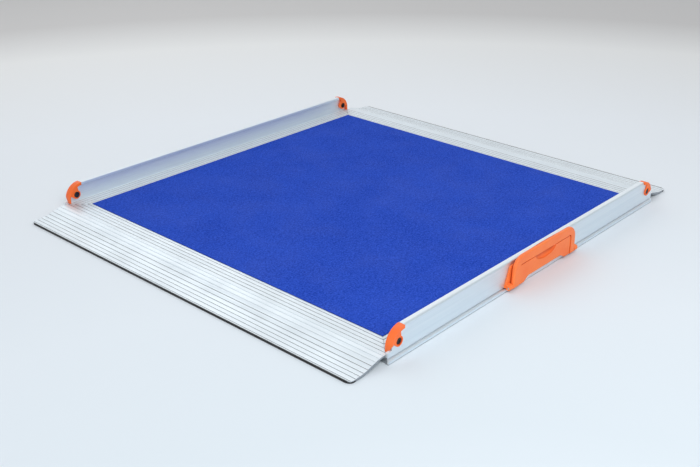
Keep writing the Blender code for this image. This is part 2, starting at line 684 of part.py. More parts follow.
def cap_nut():
    # Domed sleeve nut in the cap's inner half, its dome on the wheels' side.
    seat = CAP_INNER_FACE - KERB_FACE - FIT
    end = -WEB_THICKNESS - 2 * FIT
    dome = [(0, 1), (0.45, 0.93), (0.8, 0.65), (1, 0.25)]
    profile = [(NUT_FLANGE_RADIUS * out, seat - NUT_FLANGE_HEIGHT * up) for out, up in dome]
    profile += [(NUT_FLANGE_RADIUS, seat), (NUT_SLEEVE_RADIUS, seat), (NUT_SLEEVE_RADIUS, end), (0, end)]
    bore = rod(BOLT_RADIUS + FIT, BOLT_SEAT - BOLT_LENGTH - FIT, end + PAST, 16)
    return turn(cut(turned(profile, 20), bore), -90, 'X')


# Handle. Its pieces are modelled with Y = 0 on the kerb's outer face and -Y outwards.

def slab(outline, near, far):
    return prism(outline, 'Y', -near, -far)


def bar_top(steps=12):
    # Top of the bar, which swells towards the middle of the grip.
    points = []
    for step in range(steps + 1):
        place = GRIP_LENGTH * (step / steps - 0.5)
        swell = (1 + math.cos(2 * math.pi * place / GRIP_LENGTH)) / 2
        points.append((place, BAIL_TOP + BAIL_CROWN * swell))
    return points


def bail_outline():
    foot, top, gap = BAIL_BOTTOM_LENGTH / 2, BAIL_TOP_LENGTH / 2, BAIL_GAP_LENGTH / 2
    corners = [(-foot, BAIL_FOOT, 0), (-top, BAIL_TOP, BAIL_CORNER_RADIUS)]
    corners += sharp(bar_top())
    corners += [(top, BAIL_TOP, BAIL_CORNER_RADIUS), (foot, BAIL_FOOT, 0), (gap, BAIL_FOOT, 0),
                (gap, BAR_UNDERSIDE, GAP_CORNER_RADIUS), (-gap, BAR_UNDERSIDE, GAP_CORNER_RADIUS),
                (-gap, BAIL_FOOT, 0)]
    return rounded(corners, 6)


def at_gap(place):
    return abs(place.x) < BAIL_GAP_LENGTH / 2 + PAST and place.z < BAR_UNDERSIDE + PAST


def pin_bores(near, far):
    bores = []
    for sign in (-1, 1):
        bore = turn(rod(PIN_RADIUS + FIT, near, far, 16), 90 * sign, 'Y')
        bores.append(shift(bore, 0, -HINGE_OFF_KERB, HINGE_HEIGHT))
    return joined(bores)


def handle_bail():
    mesh = slab(bail_outline(), BAIL_BACK, BAIL_FRONT)
    mesh = rounded_edges(mesh, BAIL_EDGE_ROUND, 3, lambda place: not at_gap(place))
    mesh = rounded_edges(mesh, GAP_EDGE_ROUND, 1, lambda place: at_gap(place))
    mesh = cut(mesh, pin_bores(BAIL_GAP_LENGTH / 2 - PAST, BAIL_BOTTOM_LENGTH / 2 + PAST))
    return shift(mesh, 0, HINGE_OFF_KERB, -HINGE_HEIGHT)


def panel_outline():
    half, feet, arch = BAIL_GAP_LENGTH / 2 - PANEL_GAP, PANEL_FEET_APART / 2, PANEL_ARCH_LENGTH / 2
    corner = GAP_CORNER_RADIUS - PANEL_GAP
    foot = PANEL_FOOT_RADIUS
    return rounded([(-half, PANEL_FOOT, foot), (-half, PANEL_TOP, corner), (half, PANEL_TOP, corner),
                    (half, PANEL_FOOT, foot), (feet, PANEL_FOOT, foot),
                    (arch, PANEL_ARCH, PANEL_ARCH_RADIUS), (-arch, PANEL_ARCH, PANEL_ARCH_RADIUS),
                    (-feet, PANEL_FOOT, foot)])


def ear_outline():
    # Ear beside a leg of the bail, as (y, z); it hangs clear of the kerb's bead.
    radius = BAIL_THICKNESS / 2
    back, front = FIT + PLATE_THICKNESS / 2, HINGE_OFF_KERB + radius
    low, high, sill = HINGE_HEIGHT - radius, HINGE_HEIGHT + radius, PLATE_BOTTOM + FIT
    return rounded([(-back, sill, 0), (-BEAD_CLEAR, sill, 0), (-BEAD_CLEAR, low, EAR_BACK_RADIUS),
                    (-front, low, EAR_FRONT_RADIUS), (-front, high, EAR_FRONT_RADIUS),
                    (-back, HINGE_HEIGHT + EAR_RISE, 0)])


def handle_screw_places():
    first = -HANDLE_SCREW_SPACING * (HANDLE_SCREW_COUNT - 1) / 2
    return [first + HANDLE_SCREW_SPACING * i for i in range(HANDLE_SCREW_COUNT)]


def handle_screw_holes(near, far):
    # Along Y; near and far are distances out from the kerb's face.
    holes = []
    for place in handle_screw_places():
        hole = turn(rod(HANDLE_SCREW_RADIUS + FIT, near, far, 16), 90, 'X')
        holes.append(shift(hole, place, 0, HANDLE_SCREW_HEIGHT))
    return joined(holes)


def scoop():
    # Bowl that hollows the panel's top edge for the fingers; its floor is flattened.
    bm = bmesh.new()
    bmesh.ops.create_uvsphere(bm, u_segments=24, v_segments=12, radius=1)
    for vert in bm.verts:
        vert.co.y = math.copysign(abs(vert.co.y) ** SCOOP_FLATNESS, vert.co.y)
    mesh = mesh_from('scoop', bm)
    mesh.transform(Matrix.Diagonal((SCOOP_LENGTH / 2, SCOOP_DEPTH, SCOOP_HEIGHT, 1)))
    return shift(mesh, 0, -PANEL_FRONT, PANEL_TOP + SCOOP_ABOVE)


def handle_base():
    bottom, top = PLATE_BOTTOM_LENGTH / 2, PLATE_TOP_LENGTH / 2
    plate = [(-bottom, PLATE_BOTTOM), (bottom, PLATE_BOTTOM), (top, PLATE_TOP), (-top, PLATE_TOP)]
    plate = rounded([(a, b, PLATE_CORNER_RADIUS) for a, b in plate])
    mesh = slab(plate, FIT, FIT + PLATE_THICKNESS)
    panel = slab(panel_outline(), FIT + PLATE_THICKNESS / 2, PANEL_FRONT)
    panel = rounded_edges(panel, PANEL_EDGE_ROUND, 2, lambda place: place.y < PAST - PANEL_FRONT)
    over_bead = box((-bottom, -BEAD_CLEAR, 0), (bottom, 0, PLATE_BOTTOM + FIT))
    mesh = cut(combine(mesh, cut(panel, over_bead), 'UNION'), scoop())
    for low, high in ((EAR_INNER, EAR_OUTER), (-EAR_OUTER, -EAR_INNER)):
        mesh = combine(mesh, prism(ear_outline(), 'X', low, high), 'UNION')
    return cut(mesh, pin_bores(EAR_INNER - PAST, EAR_OUTER + PAST),
               handle_screw_holes(-PAST, FIT + HANDLE_SCREW_BITE + FIT))


def hinge_pin():
    # Along X, from inside a leg of the bail to the outer face of its ear.
    return turn(rod(PIN_RADIUS, BAIL_GAP_LENGTH / 2 + FIT, EAR_OUTER - FIT, 16), 90, 'Y')


def handle_screw():
    # Pan head against the inner face of the web, shank out into the base.
    seat = -WEB_THICKNESS - FIT
    head = seat - HANDLE_SCREW_HEAD_HEIGHT
    rim = HANDLE_SCREW_HEAD_EDGE
    profile = [(0, head), (HANDLE_SCREW_HEAD_RADIUS - rim, head), (HANDLE_SCREW_HEAD_RADIUS, head + rim),
               (HANDLE_SCREW_HEAD_RADIUS, seat), (HANDLE_SCREW_RADIUS, seat),
               (HANDLE_SCREW_RADIUS, HANDLE_SCREW_BITE), (0, HANDLE_SCREW_BITE)]
    return turn(turned(profile, 20), 90, 'X')


def build():
    for obj in list(bpy.data.objects):
        bpy.data.objects.remove(obj)
    ramp = empty('ramp')

    add('deck_skin_bottom', deck_sheet(0, SKIN_THICKNESS), 'skin', ramp)
    add('deck_core', deck_core(), 'core', ramp)
    skin_top = FRAME_HEIGHT - FIT - SKIN_THICKNESS
    add('deck_skin_top', deck_sheet(skin_top, SKIN_THICKNESS), 'skin', ramp)
    add('grip_sheet', deck_sheet(FRAME_HEIGHT, GRIP_THICKNESS), 'blue_grit', ramp)

    # The right rail is the left one turned round, with holes for the handle's screws.
    rail = side_rail()
    add('side_rail_left', rail.copy(), 'aluminium', ramp)
    holes = turn(handle_screw_holes(-WEB_THICKNESS - PAST, PAST), 180, 'Z')
    rail = cut(rail, shift(holes, 0, KERB_FACE, 0))
    add('side_rail_right', rail, 'aluminium', ramp, turned_deg=180)

    sloping_lip, rubber = lip(), lip_rubber()
    for end, turned_deg in (('rear', 0), ('front', 180)):
        add('lip_' + end, sloping_lip.copy(), 'aluminium', ramp, turned_deg=turned_deg)
        add('lip_rubber_' + end, rubber.copy(), 'rubber', ramp, turned_deg=turned_deg)

    key, screw, cap, bolt, nut = corner_key(), key_screw(), end_cap(), cap_bolt(), cap_nut()
    corners = (('rear_left', 1, 1), ('front_left', -1, 1),
               ('front_right', -1, -1), ('rear_right', 1, -1))
    for place, sign_x, sign_y in corners:
        band = (sign_x * BAND_END, sign_y * WEB_INNER, 0)
        add('corner_key_' + place, mirrored(key, sign_x, sign_y), 'skin', ramp, band)
        for profile, (x, y) in zip(('rail', 'lip'), key_screw_places()):
            spot = (band[0] + sign_x * x, band[1] + sign_y * y, 0)
            add('corner_screw_' + place + '_' + profile, screw.copy(), 'steel', ramp, spot)
        on_kerb = (sign_x * BOLT_X, sign_y * KERB_FACE, BOLT_HEIGHT)
        outward = 0 if sign_y > 0 else 180
        add('end_cap_' + place, mirrored(cap, sign_x, sign_y), 'orange_plastic', ramp, on_kerb)
        add('cap_bolt_' + place, bolt.copy(), 'black_steel', ramp, on_kerb, outward)
        add('cap_nut_' + place, nut.copy(), 'black_steel', ramp, on_kerb, outward)

    add('handle_base', handle_base(), 'orange_plastic', ramp, (0, -KERB_FACE, 0))
    for number, place in enumerate(handle_screw_places(), 1):
        spot = (place, -KERB_FACE, HANDLE_SCREW_HEIGHT)
        add('handle_screw_' + str(number), handle_screw(), 'steel', ramp, spot)
    hinge_place = (0, -KERB_FACE - HINGE_OFF_KERB, HINGE_HEIGHT)
    add('handle_pin_rear', hinge_pin(), 'steel', ramp, hinge_place)
    add('handle_pin_front', hinge_pin(), 'steel', ramp, hinge_place, 180)
    hinge = empty('handle_hinge', hinge_place, ramp)
    add('handle_bail', handle_bail(), 'orange_plastic', hinge)


build()
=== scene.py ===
import json
import math

import bmesh
import bpy
from mathutils import Matrix, Vector


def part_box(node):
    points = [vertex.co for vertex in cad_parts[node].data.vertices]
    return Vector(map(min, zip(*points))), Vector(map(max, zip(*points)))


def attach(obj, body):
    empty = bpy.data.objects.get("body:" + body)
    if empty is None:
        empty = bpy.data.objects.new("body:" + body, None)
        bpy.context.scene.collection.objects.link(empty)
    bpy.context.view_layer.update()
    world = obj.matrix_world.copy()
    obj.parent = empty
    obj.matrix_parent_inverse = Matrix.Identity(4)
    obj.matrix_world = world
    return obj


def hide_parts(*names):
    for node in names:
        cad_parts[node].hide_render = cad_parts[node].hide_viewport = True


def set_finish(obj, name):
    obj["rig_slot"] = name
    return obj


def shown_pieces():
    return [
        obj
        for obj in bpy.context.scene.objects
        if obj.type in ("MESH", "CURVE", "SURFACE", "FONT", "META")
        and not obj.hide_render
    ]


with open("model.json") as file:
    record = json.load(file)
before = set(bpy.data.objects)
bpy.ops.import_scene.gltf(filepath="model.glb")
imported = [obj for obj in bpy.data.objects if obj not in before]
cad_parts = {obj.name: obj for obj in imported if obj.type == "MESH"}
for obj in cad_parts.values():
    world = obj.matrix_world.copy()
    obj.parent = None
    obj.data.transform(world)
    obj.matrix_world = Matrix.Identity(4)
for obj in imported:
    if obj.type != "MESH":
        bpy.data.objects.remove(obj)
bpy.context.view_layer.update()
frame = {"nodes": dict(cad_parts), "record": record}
mm = 0.001
fit = 0.3 * mm                   # gap between pieces that lie against each other
past = 1.0 * mm                  # how far a cutting shape reaches past what it cuts
close = 0.02 * mm                # how far off an edge may be and still be picked
quarter = math.pi / 2
slotOf = {part["node"]: part["material_slot"] for part in frame["record"]["subparts"]}


# Modelling steps

def startFresh():
    if bpy.context.mode != "OBJECT":
        bpy.ops.object.mode_set(mode="OBJECT")
    bpy.ops.object.select_all(action="DESELECT")


def workOn(piece):
    startFresh()
    piece.select_set(True)
    bpy.context.view_layer.objects.active = piece


def selectAll():
    bpy.ops.mesh.select_all(action="SELECT")


def roundEdges(piece, wanted, width, segments):
    # bevels the edges whose middle is wanted, in edit mode
    bpy.ops.mesh.select_mode(type="EDGE")
    bpy.ops.mesh.select_all(action="DESELECT")
    mesh = bmesh.from_edit_mesh(piece.data)
    for edge in mesh.edges:
        if wanted((edge.verts[0].co + edge.verts[1].co) / 2):
            edge.select_set(True)
    mesh.select_flush_mode()
    bmesh.update_edit_mesh(piece.data)
    bpy.ops.mesh.bevel(offset=width, segments=segments, affect="EDGES", clamp_overlap=True)


def roundLong(piece, axis, places, width, segments):
    # rounds the edges that run along one axis through the given places of the section
    first, second = [i for i in range(3) if i != axis]
    roundEdges(piece, lambda middle: any(abs(middle[first] - a) < close and abs(middle[second] - b) < close
                                         for a, b in places), width, segments)


def roundRim(piece, depths, width, segments, wanted=lambda middle: True):
    # rounds the wanted edges that lie at the given places along Y
    roundEdges(piece, lambda middle: wanted(middle) and any(abs(middle.y - y) < close for y in depths),
               width, segments)


def traceLine(name, corners):
    # one vertex is pulled from corner to corner
    startFresh()
    bpy.ops.mesh.primitive_plane_add(size=mm, enter_editmode=True)
    piece = bpy.context.object
    piece.name = piece.data.name = name
    bpy.ops.mesh.select_mode(type="VERT")
    selectAll()
    bpy.ops.mesh.merge(type="CENTER")
    bpy.ops.transform.translate(value=corners[0])
    for before, after in zip(corners, corners[1:]):
        move = Vector(after) - Vector(before)
        bpy.ops.mesh.extrude_region_move(TRANSFORM_OT_translate={"value": move})
    return piece


def tracePlate(name, outline, axis, start, length):
    # the outline holds the two other coordinates; it is filled and pulled along the axis to a solid
    corners = [list(pair) for pair in outline]
    for corner in corners:
        corner.insert(axis, start)
    piece = traceLine(name, corners)
    selectAll()
    bpy.ops.mesh.edge_face_add()
    selectAll()
    pull = [length * (i == axis) for i in range(3)]
    bpy.ops.mesh.extrude_region_move(TRANSFORM_OT_translate={"value": pull})
    selectAll()
    bpy.ops.mesh.normals_make_consistent(inside=False)
    return piece


def joinDoubles(reach):
    # merges what lies on the same place, and turns all faces outwards
    selectAll()
    bpy.ops.mesh.remove_doubles(threshold=reach)
    bpy.ops.mesh.normals_make_consistent(inside=False)


def applyLast(piece):
    workOn(piece)
    bpy.ops.object.modifier_apply(modifier=piece.modifiers[-1].name)


def combine(piece, other, how):
    startFresh()
    step = piece.modifiers.new("combine", "BOOLEAN")
    step.operation = how
    step.solver = "EXACT"
    step.object = other
    applyLast(piece)
    bpy.data.objects.remove(other)


def carve(piece, *tools):
    for tool in tools:
        combine(piece, tool, "DIFFERENCE")


def mirrorHalf(piece, axis):
    # keeps the positive half and mirrors it
    startFresh()
    step = piece.modifiers.new("mirror", "MIRROR")
    step.use_axis = step.use_bisect_axis = [i == axis for i in range(3)]
    step.merge_threshold = 0.001 * mm
    applyLast(piece)


def soften(piece, width, segments=2, sharperThan=40):
    # a small radius on every sharp edge, and normals that keep the flat faces flat
    startFresh()
    step = piece.modifiers.new("soften", "BEVEL")
    step.width = width
    step.segments = segments
    step.angle_limit = math.radians(sharperThan)
    step.use_clamp_overlap = False
    applyLast(piece)
    bpy.ops.object.shade_smooth()
    step = piece.modifiers.new("normals", "WEIGHTED_NORMAL")
    step.weight = 80
    applyLast(piece)


def block(low, high):
    # a cutting block between two corners
    startFresh()
    low, high = Vector(low), Vector(high)
    bpy.ops.mesh.primitive_cube_add(size=1, location=(low + high) / 2, scale=high - low)
    return bpy.context.object


def rodAlong(axis, radius, centre, low, high, sides=32):
    # a round cutting tool along one axis; centre holds the other two coordinates
    startFresh()
    middle = list(centre)
    middle.insert(axis, (low + high) / 2)
    turn = [(0, quarter, 0), (quarter, 0, 0), (0, 0, 0)][axis]
    bpy.ops.mesh.primitive_cylinder_add(vertices=sides, radius=radius, depth=high - low,
                                        location=middle, rotation=turn)
    return bpy.context.object


def arcPoints(centre, radius, first, last, steps):
    points = []
    for i in range(steps + 1):
        angle = math.radians(first + (last - first) * i / steps)
        points.append((centre[0] + radius * math.cos(angle), centre[1] + radius * math.sin(angle)))
    return points


def spun(name, profile, axis, centre, steps=40):
    # a profile of (radius, distance along the axis) spun all the way round
    corners = []
    for radius, along in profile:
        corner = Vector(centre)
        corner[axis] += along
        corner[(axis + 1) % 3] += radius
        corners.append(corner)
    piece = traceLine(name, corners)
    selectAll()
    bpy.ops.mesh.spin(steps=steps, angle=4 * quarter, center=centre,
                      axis=[float(i == axis) for i in range(3)])
    joinDoubles(close / 10)
    return piece


def placeCopy(piece, name, move):
    startFresh()
    copy = piece.copy()
    copy.data = piece.data.copy()
    copy.name = copy.data.name = name
    bpy.context.scene.collection.objects.link(copy)
    copy.data.transform(move)
    if move.determinant() < 0:
        copy.data.flip_normals()
    return copy


def standFor(piece, node, body="ramp"):
    startFresh()
    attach(piece, body)
    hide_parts(node)
    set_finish(piece, slotOf[node])


halfTurn = Matrix.Rotation(math.pi, 4, "Z")
flipX = Matrix.Diagonal((-1, 1, 1, 1))
flipY = Matrix.Diagonal((1, -1, 1, 1))


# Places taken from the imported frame

railLow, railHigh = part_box("side_rail_left")
lipLow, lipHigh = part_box("lip_rear")
gripLow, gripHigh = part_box("grip_sheet")
frameTop = gripLow.z
deckEdge = gripHigh.x + fit
toe = lipHigh.x
kerbEnd = railHigh.x
kerbTop = railHigh.z


# Ribbed band that runs round the deck on rails and lips

band = {
    "width": 35.0 * mm,
    "wall": 2.2 * mm,
    "tongueReach": 14.0 * mm,
    "tongueBottom": 6.2 * mm,
    "tongueThickness": 2.0 * mm,
    "ribPitch": 8.35 * mm,
    "firstRib": 6.0 * mm,
    "ribWidth": 1.3 * mm,
    "ribFloor": 0.99 * mm,
    "ribDepth": 0.75 * mm,
}
bandEnd = deckEdge + band["width"]


def ribbed(start, end, surface, spacing):
    # (distance, height) along a ribbed surface, grooves counted from the deck's edge
    grooves = []
    place = start + band["firstRib"]
    while place + band["ribWidth"] < end:
        grooves.append(place)
        place += band["ribPitch"]
    count = max(1, round((end - start) / spacing))
    plain = [start + (end - start) * i / count for i in range(1, count)]
    plain = [p for p in plain if all(abs(p - g) > band["ribWidth"] for g in grooves)]
    points = [(p, surface(p)) for p in [start, *plain, end]]
    for groove in grooves:
        for reach, depth in ((band["ribWidth"], 0), (band["ribFloor"], band["ribDepth"])):
            for side in (-1, 1):
                edge = groove + side * reach / 2
                points.append((edge, surface(edge) - depth))
    return sorted(points)


def tongueCorners(edge):
    inner = edge - band["tongueReach"]
    low = band["tongueBottom"]
    high = low + band["tongueThickness"]
    return [(edge, high), (inner, high), (inner, low), (edge, low)]


# Side rails: ribbed band, kerb web, top flange and foot bead in one extrusion

rail = {
    "web": 4.0 * mm,
    "flangeWidth": 10.0 * mm,
    "flangeDepth": 6.0 * mm,
    "beadProud": 2.7 * mm,
    "beadHeight": 6.6 * mm,
    "grooveDepth": 1.3 * mm,
    "grooveWidth": 2.6 * mm,
    "topRound": 3.0 * mm,
    "flangeRound": 1.0 * mm,
    "rootRound": 1.5 * mm,
    "beadFootRound": 1.0 * mm,
    "beadTopRound": 1.45 * mm,
    "grooveRound": 0.4 * mm,
    "edge": 0.16 * mm,
}
kerbFace = railHigh.y - rail["beadProud"]
webInner = kerbFace - rail["web"]
flangeEdge = kerbFace - rail["flangeWidth"]
flangeFoot = kerbTop - rail["flangeDepth"]
grooveTop = rail["beadHeight"] + rail["grooveWidth"]

endCap = {
    "radius": 29.5 * mm,
    "steps": 28,
    "band": 3.4 * mm,
    "rim": 2.8 * mm,
    "tip": 5.4 * mm,
    "tipSide": 4.3 * mm,
    "tipBevel": 8.5 * mm,
    "tipThin": -2.6 * mm,
    "tipWide": 1.2 * mm,
    "neckLow": 15,
    "neckHigh": 68,
    "lugRadius": 8.6 * mm,
    "lugLow": -38,
    "lugHigh": 122,
    "boltFromArc": 12.7 * mm,
    "boltHeight": 29.5 * mm,
    "counterbore": 6.4 * mm,
    "floor": 0.4 * mm,
    "round": 0.8 * mm,
    "edge": 0.15 * mm,
}
capCentre = (deckEdge, kerbTop - endCap["radius"])
capInner = endCap["radius"] - endCap["band"]
webRadius = endCap["radius"] - endCap["rim"] - fit
webStep = frameTop + endCap["tipSide"]
boltPlace = (capCentre[0] + endCap["boltFromArc"], endCap["boltHeight"])
boltMiddle = (boltPlace[0], kerbFace, boltPlace[1])

capBolt = {
    "radius": 5.0 * mm,
    "head": 0.9 * mm,
    "edge": 0.3 * mm,
    "socket": 2.1 * mm,
    "socketDepth": 0.7 * mm,
    "shank": 2.5 * mm,
    "length": 10.0 * mm,
    "soft": 0.08 * mm,
}
capNut = {
    "flange": 5.8 * mm,
    "height": 1.8 * mm,
    "dome": 0.7,                 # share of the height that is domed
    "domeSteps": 8,
    "sleeve": 4.2 * mm,
    "soft": 0.12 * mm,
}


def boltTool(radius, near, far, sides=32):
    # a round cutting tool on the cap bolt's axis
    return rodAlong(1, radius, boltPlace, near, far, sides)


handleScrew = {
    "count": 4,
    "spacing": 40.0 * mm,
    "above": 24.0 * mm,
    "shank": 2.0 * mm,
    "head": 4.0 * mm,
    "headHeight": 2.2 * mm,
    "headRound": 1.1 * mm,
    "flat": 1.6 * mm,
    "bite": 5.6 * mm,
    "hole": 6.2 * mm,
    "crossLong": 4.2 * mm,
    "crossWide": 0.8 * mm,
    "crossDeep": 1.3 * mm,
    "soft": 0.08 * mm,
}
screwPlaces = [(i - (handleScrew["count"] - 1) / 2) * handleScrew["spacing"]
               for i in range(handleScrew["count"])]


def handleScrewTools(near, far):
    return [rodAlong(1, handleScrew["shank"] + fit, (place, handleScrew["above"]), near, far)
            for place in screwPlaces]


def railSection():
    grooveMiddle = rail["beadHeight"] + rail["grooveWidth"] / 2
    corners = [(deckEdge, 0), (railHigh.y, 0), (railHigh.y, rail["beadHeight"]),
               (kerbFace - rail["grooveDepth"], grooveMiddle), (kerbFace, grooveTop), (kerbFace, kerbTop),
               (flangeEdge, kerbTop), (flangeEdge, flangeFoot), (webInner, flangeFoot)]
    corners += reversed(ribbed(deckEdge, webInner, lambda place: frameTop, band["width"]))
    return corners + tongueCorners(deckEdge)


def kerbEndTool():
    # clears the kerb beyond the cap's arc, down to the step under the cap's tip
    x, z = capCentre
    far, above = kerbEnd + endCap["radius"], kerbTop + endCap["radius"]
    outline = [(x - fit, above), (far, above), (far, webStep), (x + webRadius, webStep)]
    outline += arcPoints(capCentre, webRadius, 0, 90, 20)
    outline += [(x - fit, z + webRadius)]
    return tracePlate("tool", outline, 1, flangeEdge - past, rail["flangeWidth"] + 2 * past)


def mitreTool():
    inside = band["tongueReach"] + past
    gap = fit / math.sqrt(2)
    far = kerbEnd + past
    outline = [(deckEdge - inside - gap, deckEdge - inside), (bandEnd - gap, webInner),
               (far, webInner), (far, deckEdge - inside)]
    return tracePlate("tool", outline, 2, -past, kerbTop)


keyScrew = {
    "fromCorner": 50.0 * mm,
    "mouth": 4.3 * mm,
    "throat": 2.3 * mm,
    "depth": 2.4 * mm,
}


def keyScrewTool(x, y):
    # countersunk hole for a corner key's screw, driven from below
    startFresh()
    bpy.ops.mesh.primitive_cone_add(vertices=32, radius1=keyScrew["mouth"], radius2=keyScrew["throat"],
                                    depth=keyScrew["depth"], location=(x, y, keyScrew["depth"] / 2))
    return bpy.context.object


def makeRail():
    piece = tracePlate("railLeftFine", railSection(), 0, -kerbEnd, 2 * kerbEnd)
    roundLong(piece, 0, [(kerbFace, kerbTop)], rail["topRound"], 7)
    roundLong(piece, 0, [(flangeEdge, kerbTop), (flangeEdge, flangeFoot)], rail["flangeRound"], 4)
    roundLong(piece, 0, [(webInner, flangeFoot)], rail["rootRound"], 5)
    roundLong(piece, 0, [(railHigh.y, 0)], rail["beadFootRound"], 4)
    roundLong(piece, 0, [(railHigh.y, rail["beadHeight"])], rail["beadTopRound"], 5)
    roundLong(piece, 0, [(kerbFace, grooveTop)], rail["grooveRound"], 3)
    chamber = block((-toe, deckEdge + band["wall"], band["wall"]),
                    (toe, bandEnd - band["wall"], frameTop - band["wall"]))
    flangeEnd = block((capCentre[0] - fit, flangeEdge - past, flangeFoot - 2 * past),
                      (kerbEnd + past, webInner, kerbTop + past))
    boltHole = boltTool(capBolt["shank"] + fit, webInner - past, kerbFace + past)
    screwHole = keyScrewTool(bandEnd - keyScrew["fromCorner"], webInner - band["width"] / 2)
    carve(piece, chamber, kerbEndTool(), mitreTool(), flangeEnd, boltHole, screwHole)
    mirrorHalf(piece, 0)
    return piece


leftRail = makeRail()
rightRail = placeCopy(leftRail, "railRightFine", halfTurn)
carve(rightRail, *handleScrewTools(-kerbFace - past, past - webInner))
for piece, node in ((leftRail, "side_rail_left"), (rightRail, "side_rail_right")):
    soften(piece, rail["edge"])
    standFor(piece, node)
print("rails done")


# Lips: ribbed band and sloping wing in one extrusion

lip = {
    "wing": 3.3 * mm,
    "shoulderFlat": 2.0 * mm,
    "toeFlat": 19.0 * mm,
    "toeFall": 0.9 * mm,
    "toeHeight": 3.8 * mm,
    "footLength": 25.0 * mm,
    "footClearance": 0.4 * mm,
    "toeCorner": 10.0 * mm,
    "nose": 0.6 * mm,
    "root": 4.5 * mm,
    "curveStep": 1.4 * mm,
    "undersideSteps": 20,
    "edge": 0.16 * mm,
}
rubber = {
    "thickness": 2.2 * mm,
    "width": 12.0 * mm,
    "nose": 1.2 * mm,
    "round": 0.4 * mm,
}
lipEdge = toe - rubber["nose"] - fit


def slopePart(place, end):
    # smooth fall from 0 at the shoulder to 1 at the end
    start = bandEnd + lip["shoulderFlat"]
    part = min(1, max(0, (place - start) / (end - start)))
    return part * part * (3 - 2 * part)


def lipTop(place):
    toePart = max(0, 1 - (toe - place) / lip["toeFlat"])
    fall = frameTop - lip["toeHeight"] - lip["toeFall"]
    return frameTop - fall * slopePart(place, toe - lip["toeFlat"]) - lip["toeFall"] * toePart


def lipUnderside(place):
    fall = frameTop - lip["wing"] - lip["footClearance"]
    return frameTop - lip["wing"] - fall * slopePart(place, toe - lip["footLength"])


def lipSection():
    root, foot = bandEnd + 2 * lip["root"], toe - lip["footLength"]
    rebate, seat = toe - rubber["width"] - fit, rubber["thickness"] + fit
    steps = lip["undersideSteps"]
    corners = [(deckEdge, 0), (bandEnd, 0), (bandEnd, lipUnderside(bandEnd))]
    corners += [(p, lipUnderside(p)) for p in [root + (foot - root) * i / steps for i in range(steps + 1)]]
    corners += [(rebate, lip["footClearance"]), (rebate, seat), (lipEdge, seat)]
    corners += reversed(ribbed(deckEdge, lipEdge, lipTop, lip["curveStep"]))
    return corners + tongueCorners(deckEdge)


def toeCornerTool(halfWidth):
    x, y = toe - lip["toeCorner"], halfWidth - lip["toeCorner"]
    outline = arcPoints((x, y), lip["toeCorner"], 90, 0, 12)
    outline += [(toe + past, y), (toe + past, halfWidth + past), (x, halfWidth + past)]
    return tracePlate("tool", outline, 2, -past, frameTop)


def makeLip():
    halfWidth = lipHigh.y
    piece = tracePlate("lipRearFine", lipSection(), 1, -halfWidth, 2 * halfWidth)
    roundLong(piece, 1, [(bandEnd, lipUnderside(bandEnd))], lip["root"], 8)
    roundLong(piece, 1, [(lipEdge, lipTop(lipEdge))], lip["nose"], 4)
    selectAll()
    bpy.ops.mesh.bisect(plane_co=(0, -fit, 0), plane_no=(-1, 1, 0), use_fill=True, clear_outer=True)
    chamber = block((deckEdge + band["wall"], -toe, band["wall"]),
                    (bandEnd - band["wall"], toe, frameTop - band["wall"]))
    screwHole = keyScrewTool(bandEnd - band["width"] / 2, webInner - keyScrew["fromCorner"])
    carve(piece, chamber, toeCornerTool(halfWidth), screwHole)
    mirrorHalf(piece, 1)
    soften(piece, lip["edge"])
    return piece


def makeRubber():
    # a flat strip, turned up in front of the metal's edge
    halfWidth = lipHigh.y
    back, step, top = toe - rubber["width"], toe - rubber["nose"], lipTop(toe)
    section = [(back, 0), (toe, 0), (toe, top), (step, top),
               (step, rubber["thickness"]), (back, rubber["thickness"])]
    piece = tracePlate("lipRubberRearFine", section, 1, -halfWidth, 2 * halfWidth)
    carve(piece, toeCornerTool(halfWidth))
    mirrorHalf(piece, 1)
    soften(piece, rubber["round"], 3)
    return piece


for maker, node in ((makeLip, "lip_rear"), (makeRubber, "lip_rubber_rear")):
    piece = maker()
    frontPiece = placeCopy(piece, piece.name.replace("Rear", "Front"), halfTurn)
    standFor(piece, node)
    standFor(frontPiece, node.replace("rear", "front"))
print("lips done")


# Grip sheet

grip = {
    "round": 0.35 * mm,
}


def makeGrip():
    piece = block(gripLow, gripHigh)
    piece.name = piece.data.name = "gripSheetFine"
    bpy.ops.object.transform_apply(location=True, rotation=True, scale=True)
    soften(piece, grip["round"], 3)
    standFor(piece, "grip_sheet")


makeGrip()
print("grip sheet done")


# Kerb end caps with their bolts and nuts, made for the rear left corner

capLow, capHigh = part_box("end_cap_rear_left")


def capOutline():
    x, foot = capCentre[0], frameTop + fit
    outline = arcPoints(capCentre, endCap["radius"], 90, 0, endCap["steps"])
    outline += [(x + endCap["radius"], foot), (x + capInner, foot)]
    outline += arcPoints(capCentre, capInner, 0, endCap["neckLow"], 3)
    outline += arcPoints(boltPlace, endCap["lugRadius"], endCap["lugLow"], endCap["lugHigh"] - 360, 26)
    return outline + arcPoints(capCentre, endCap["radius"] - endCap["tip"], endCap["neckHigh"], 90, 6)


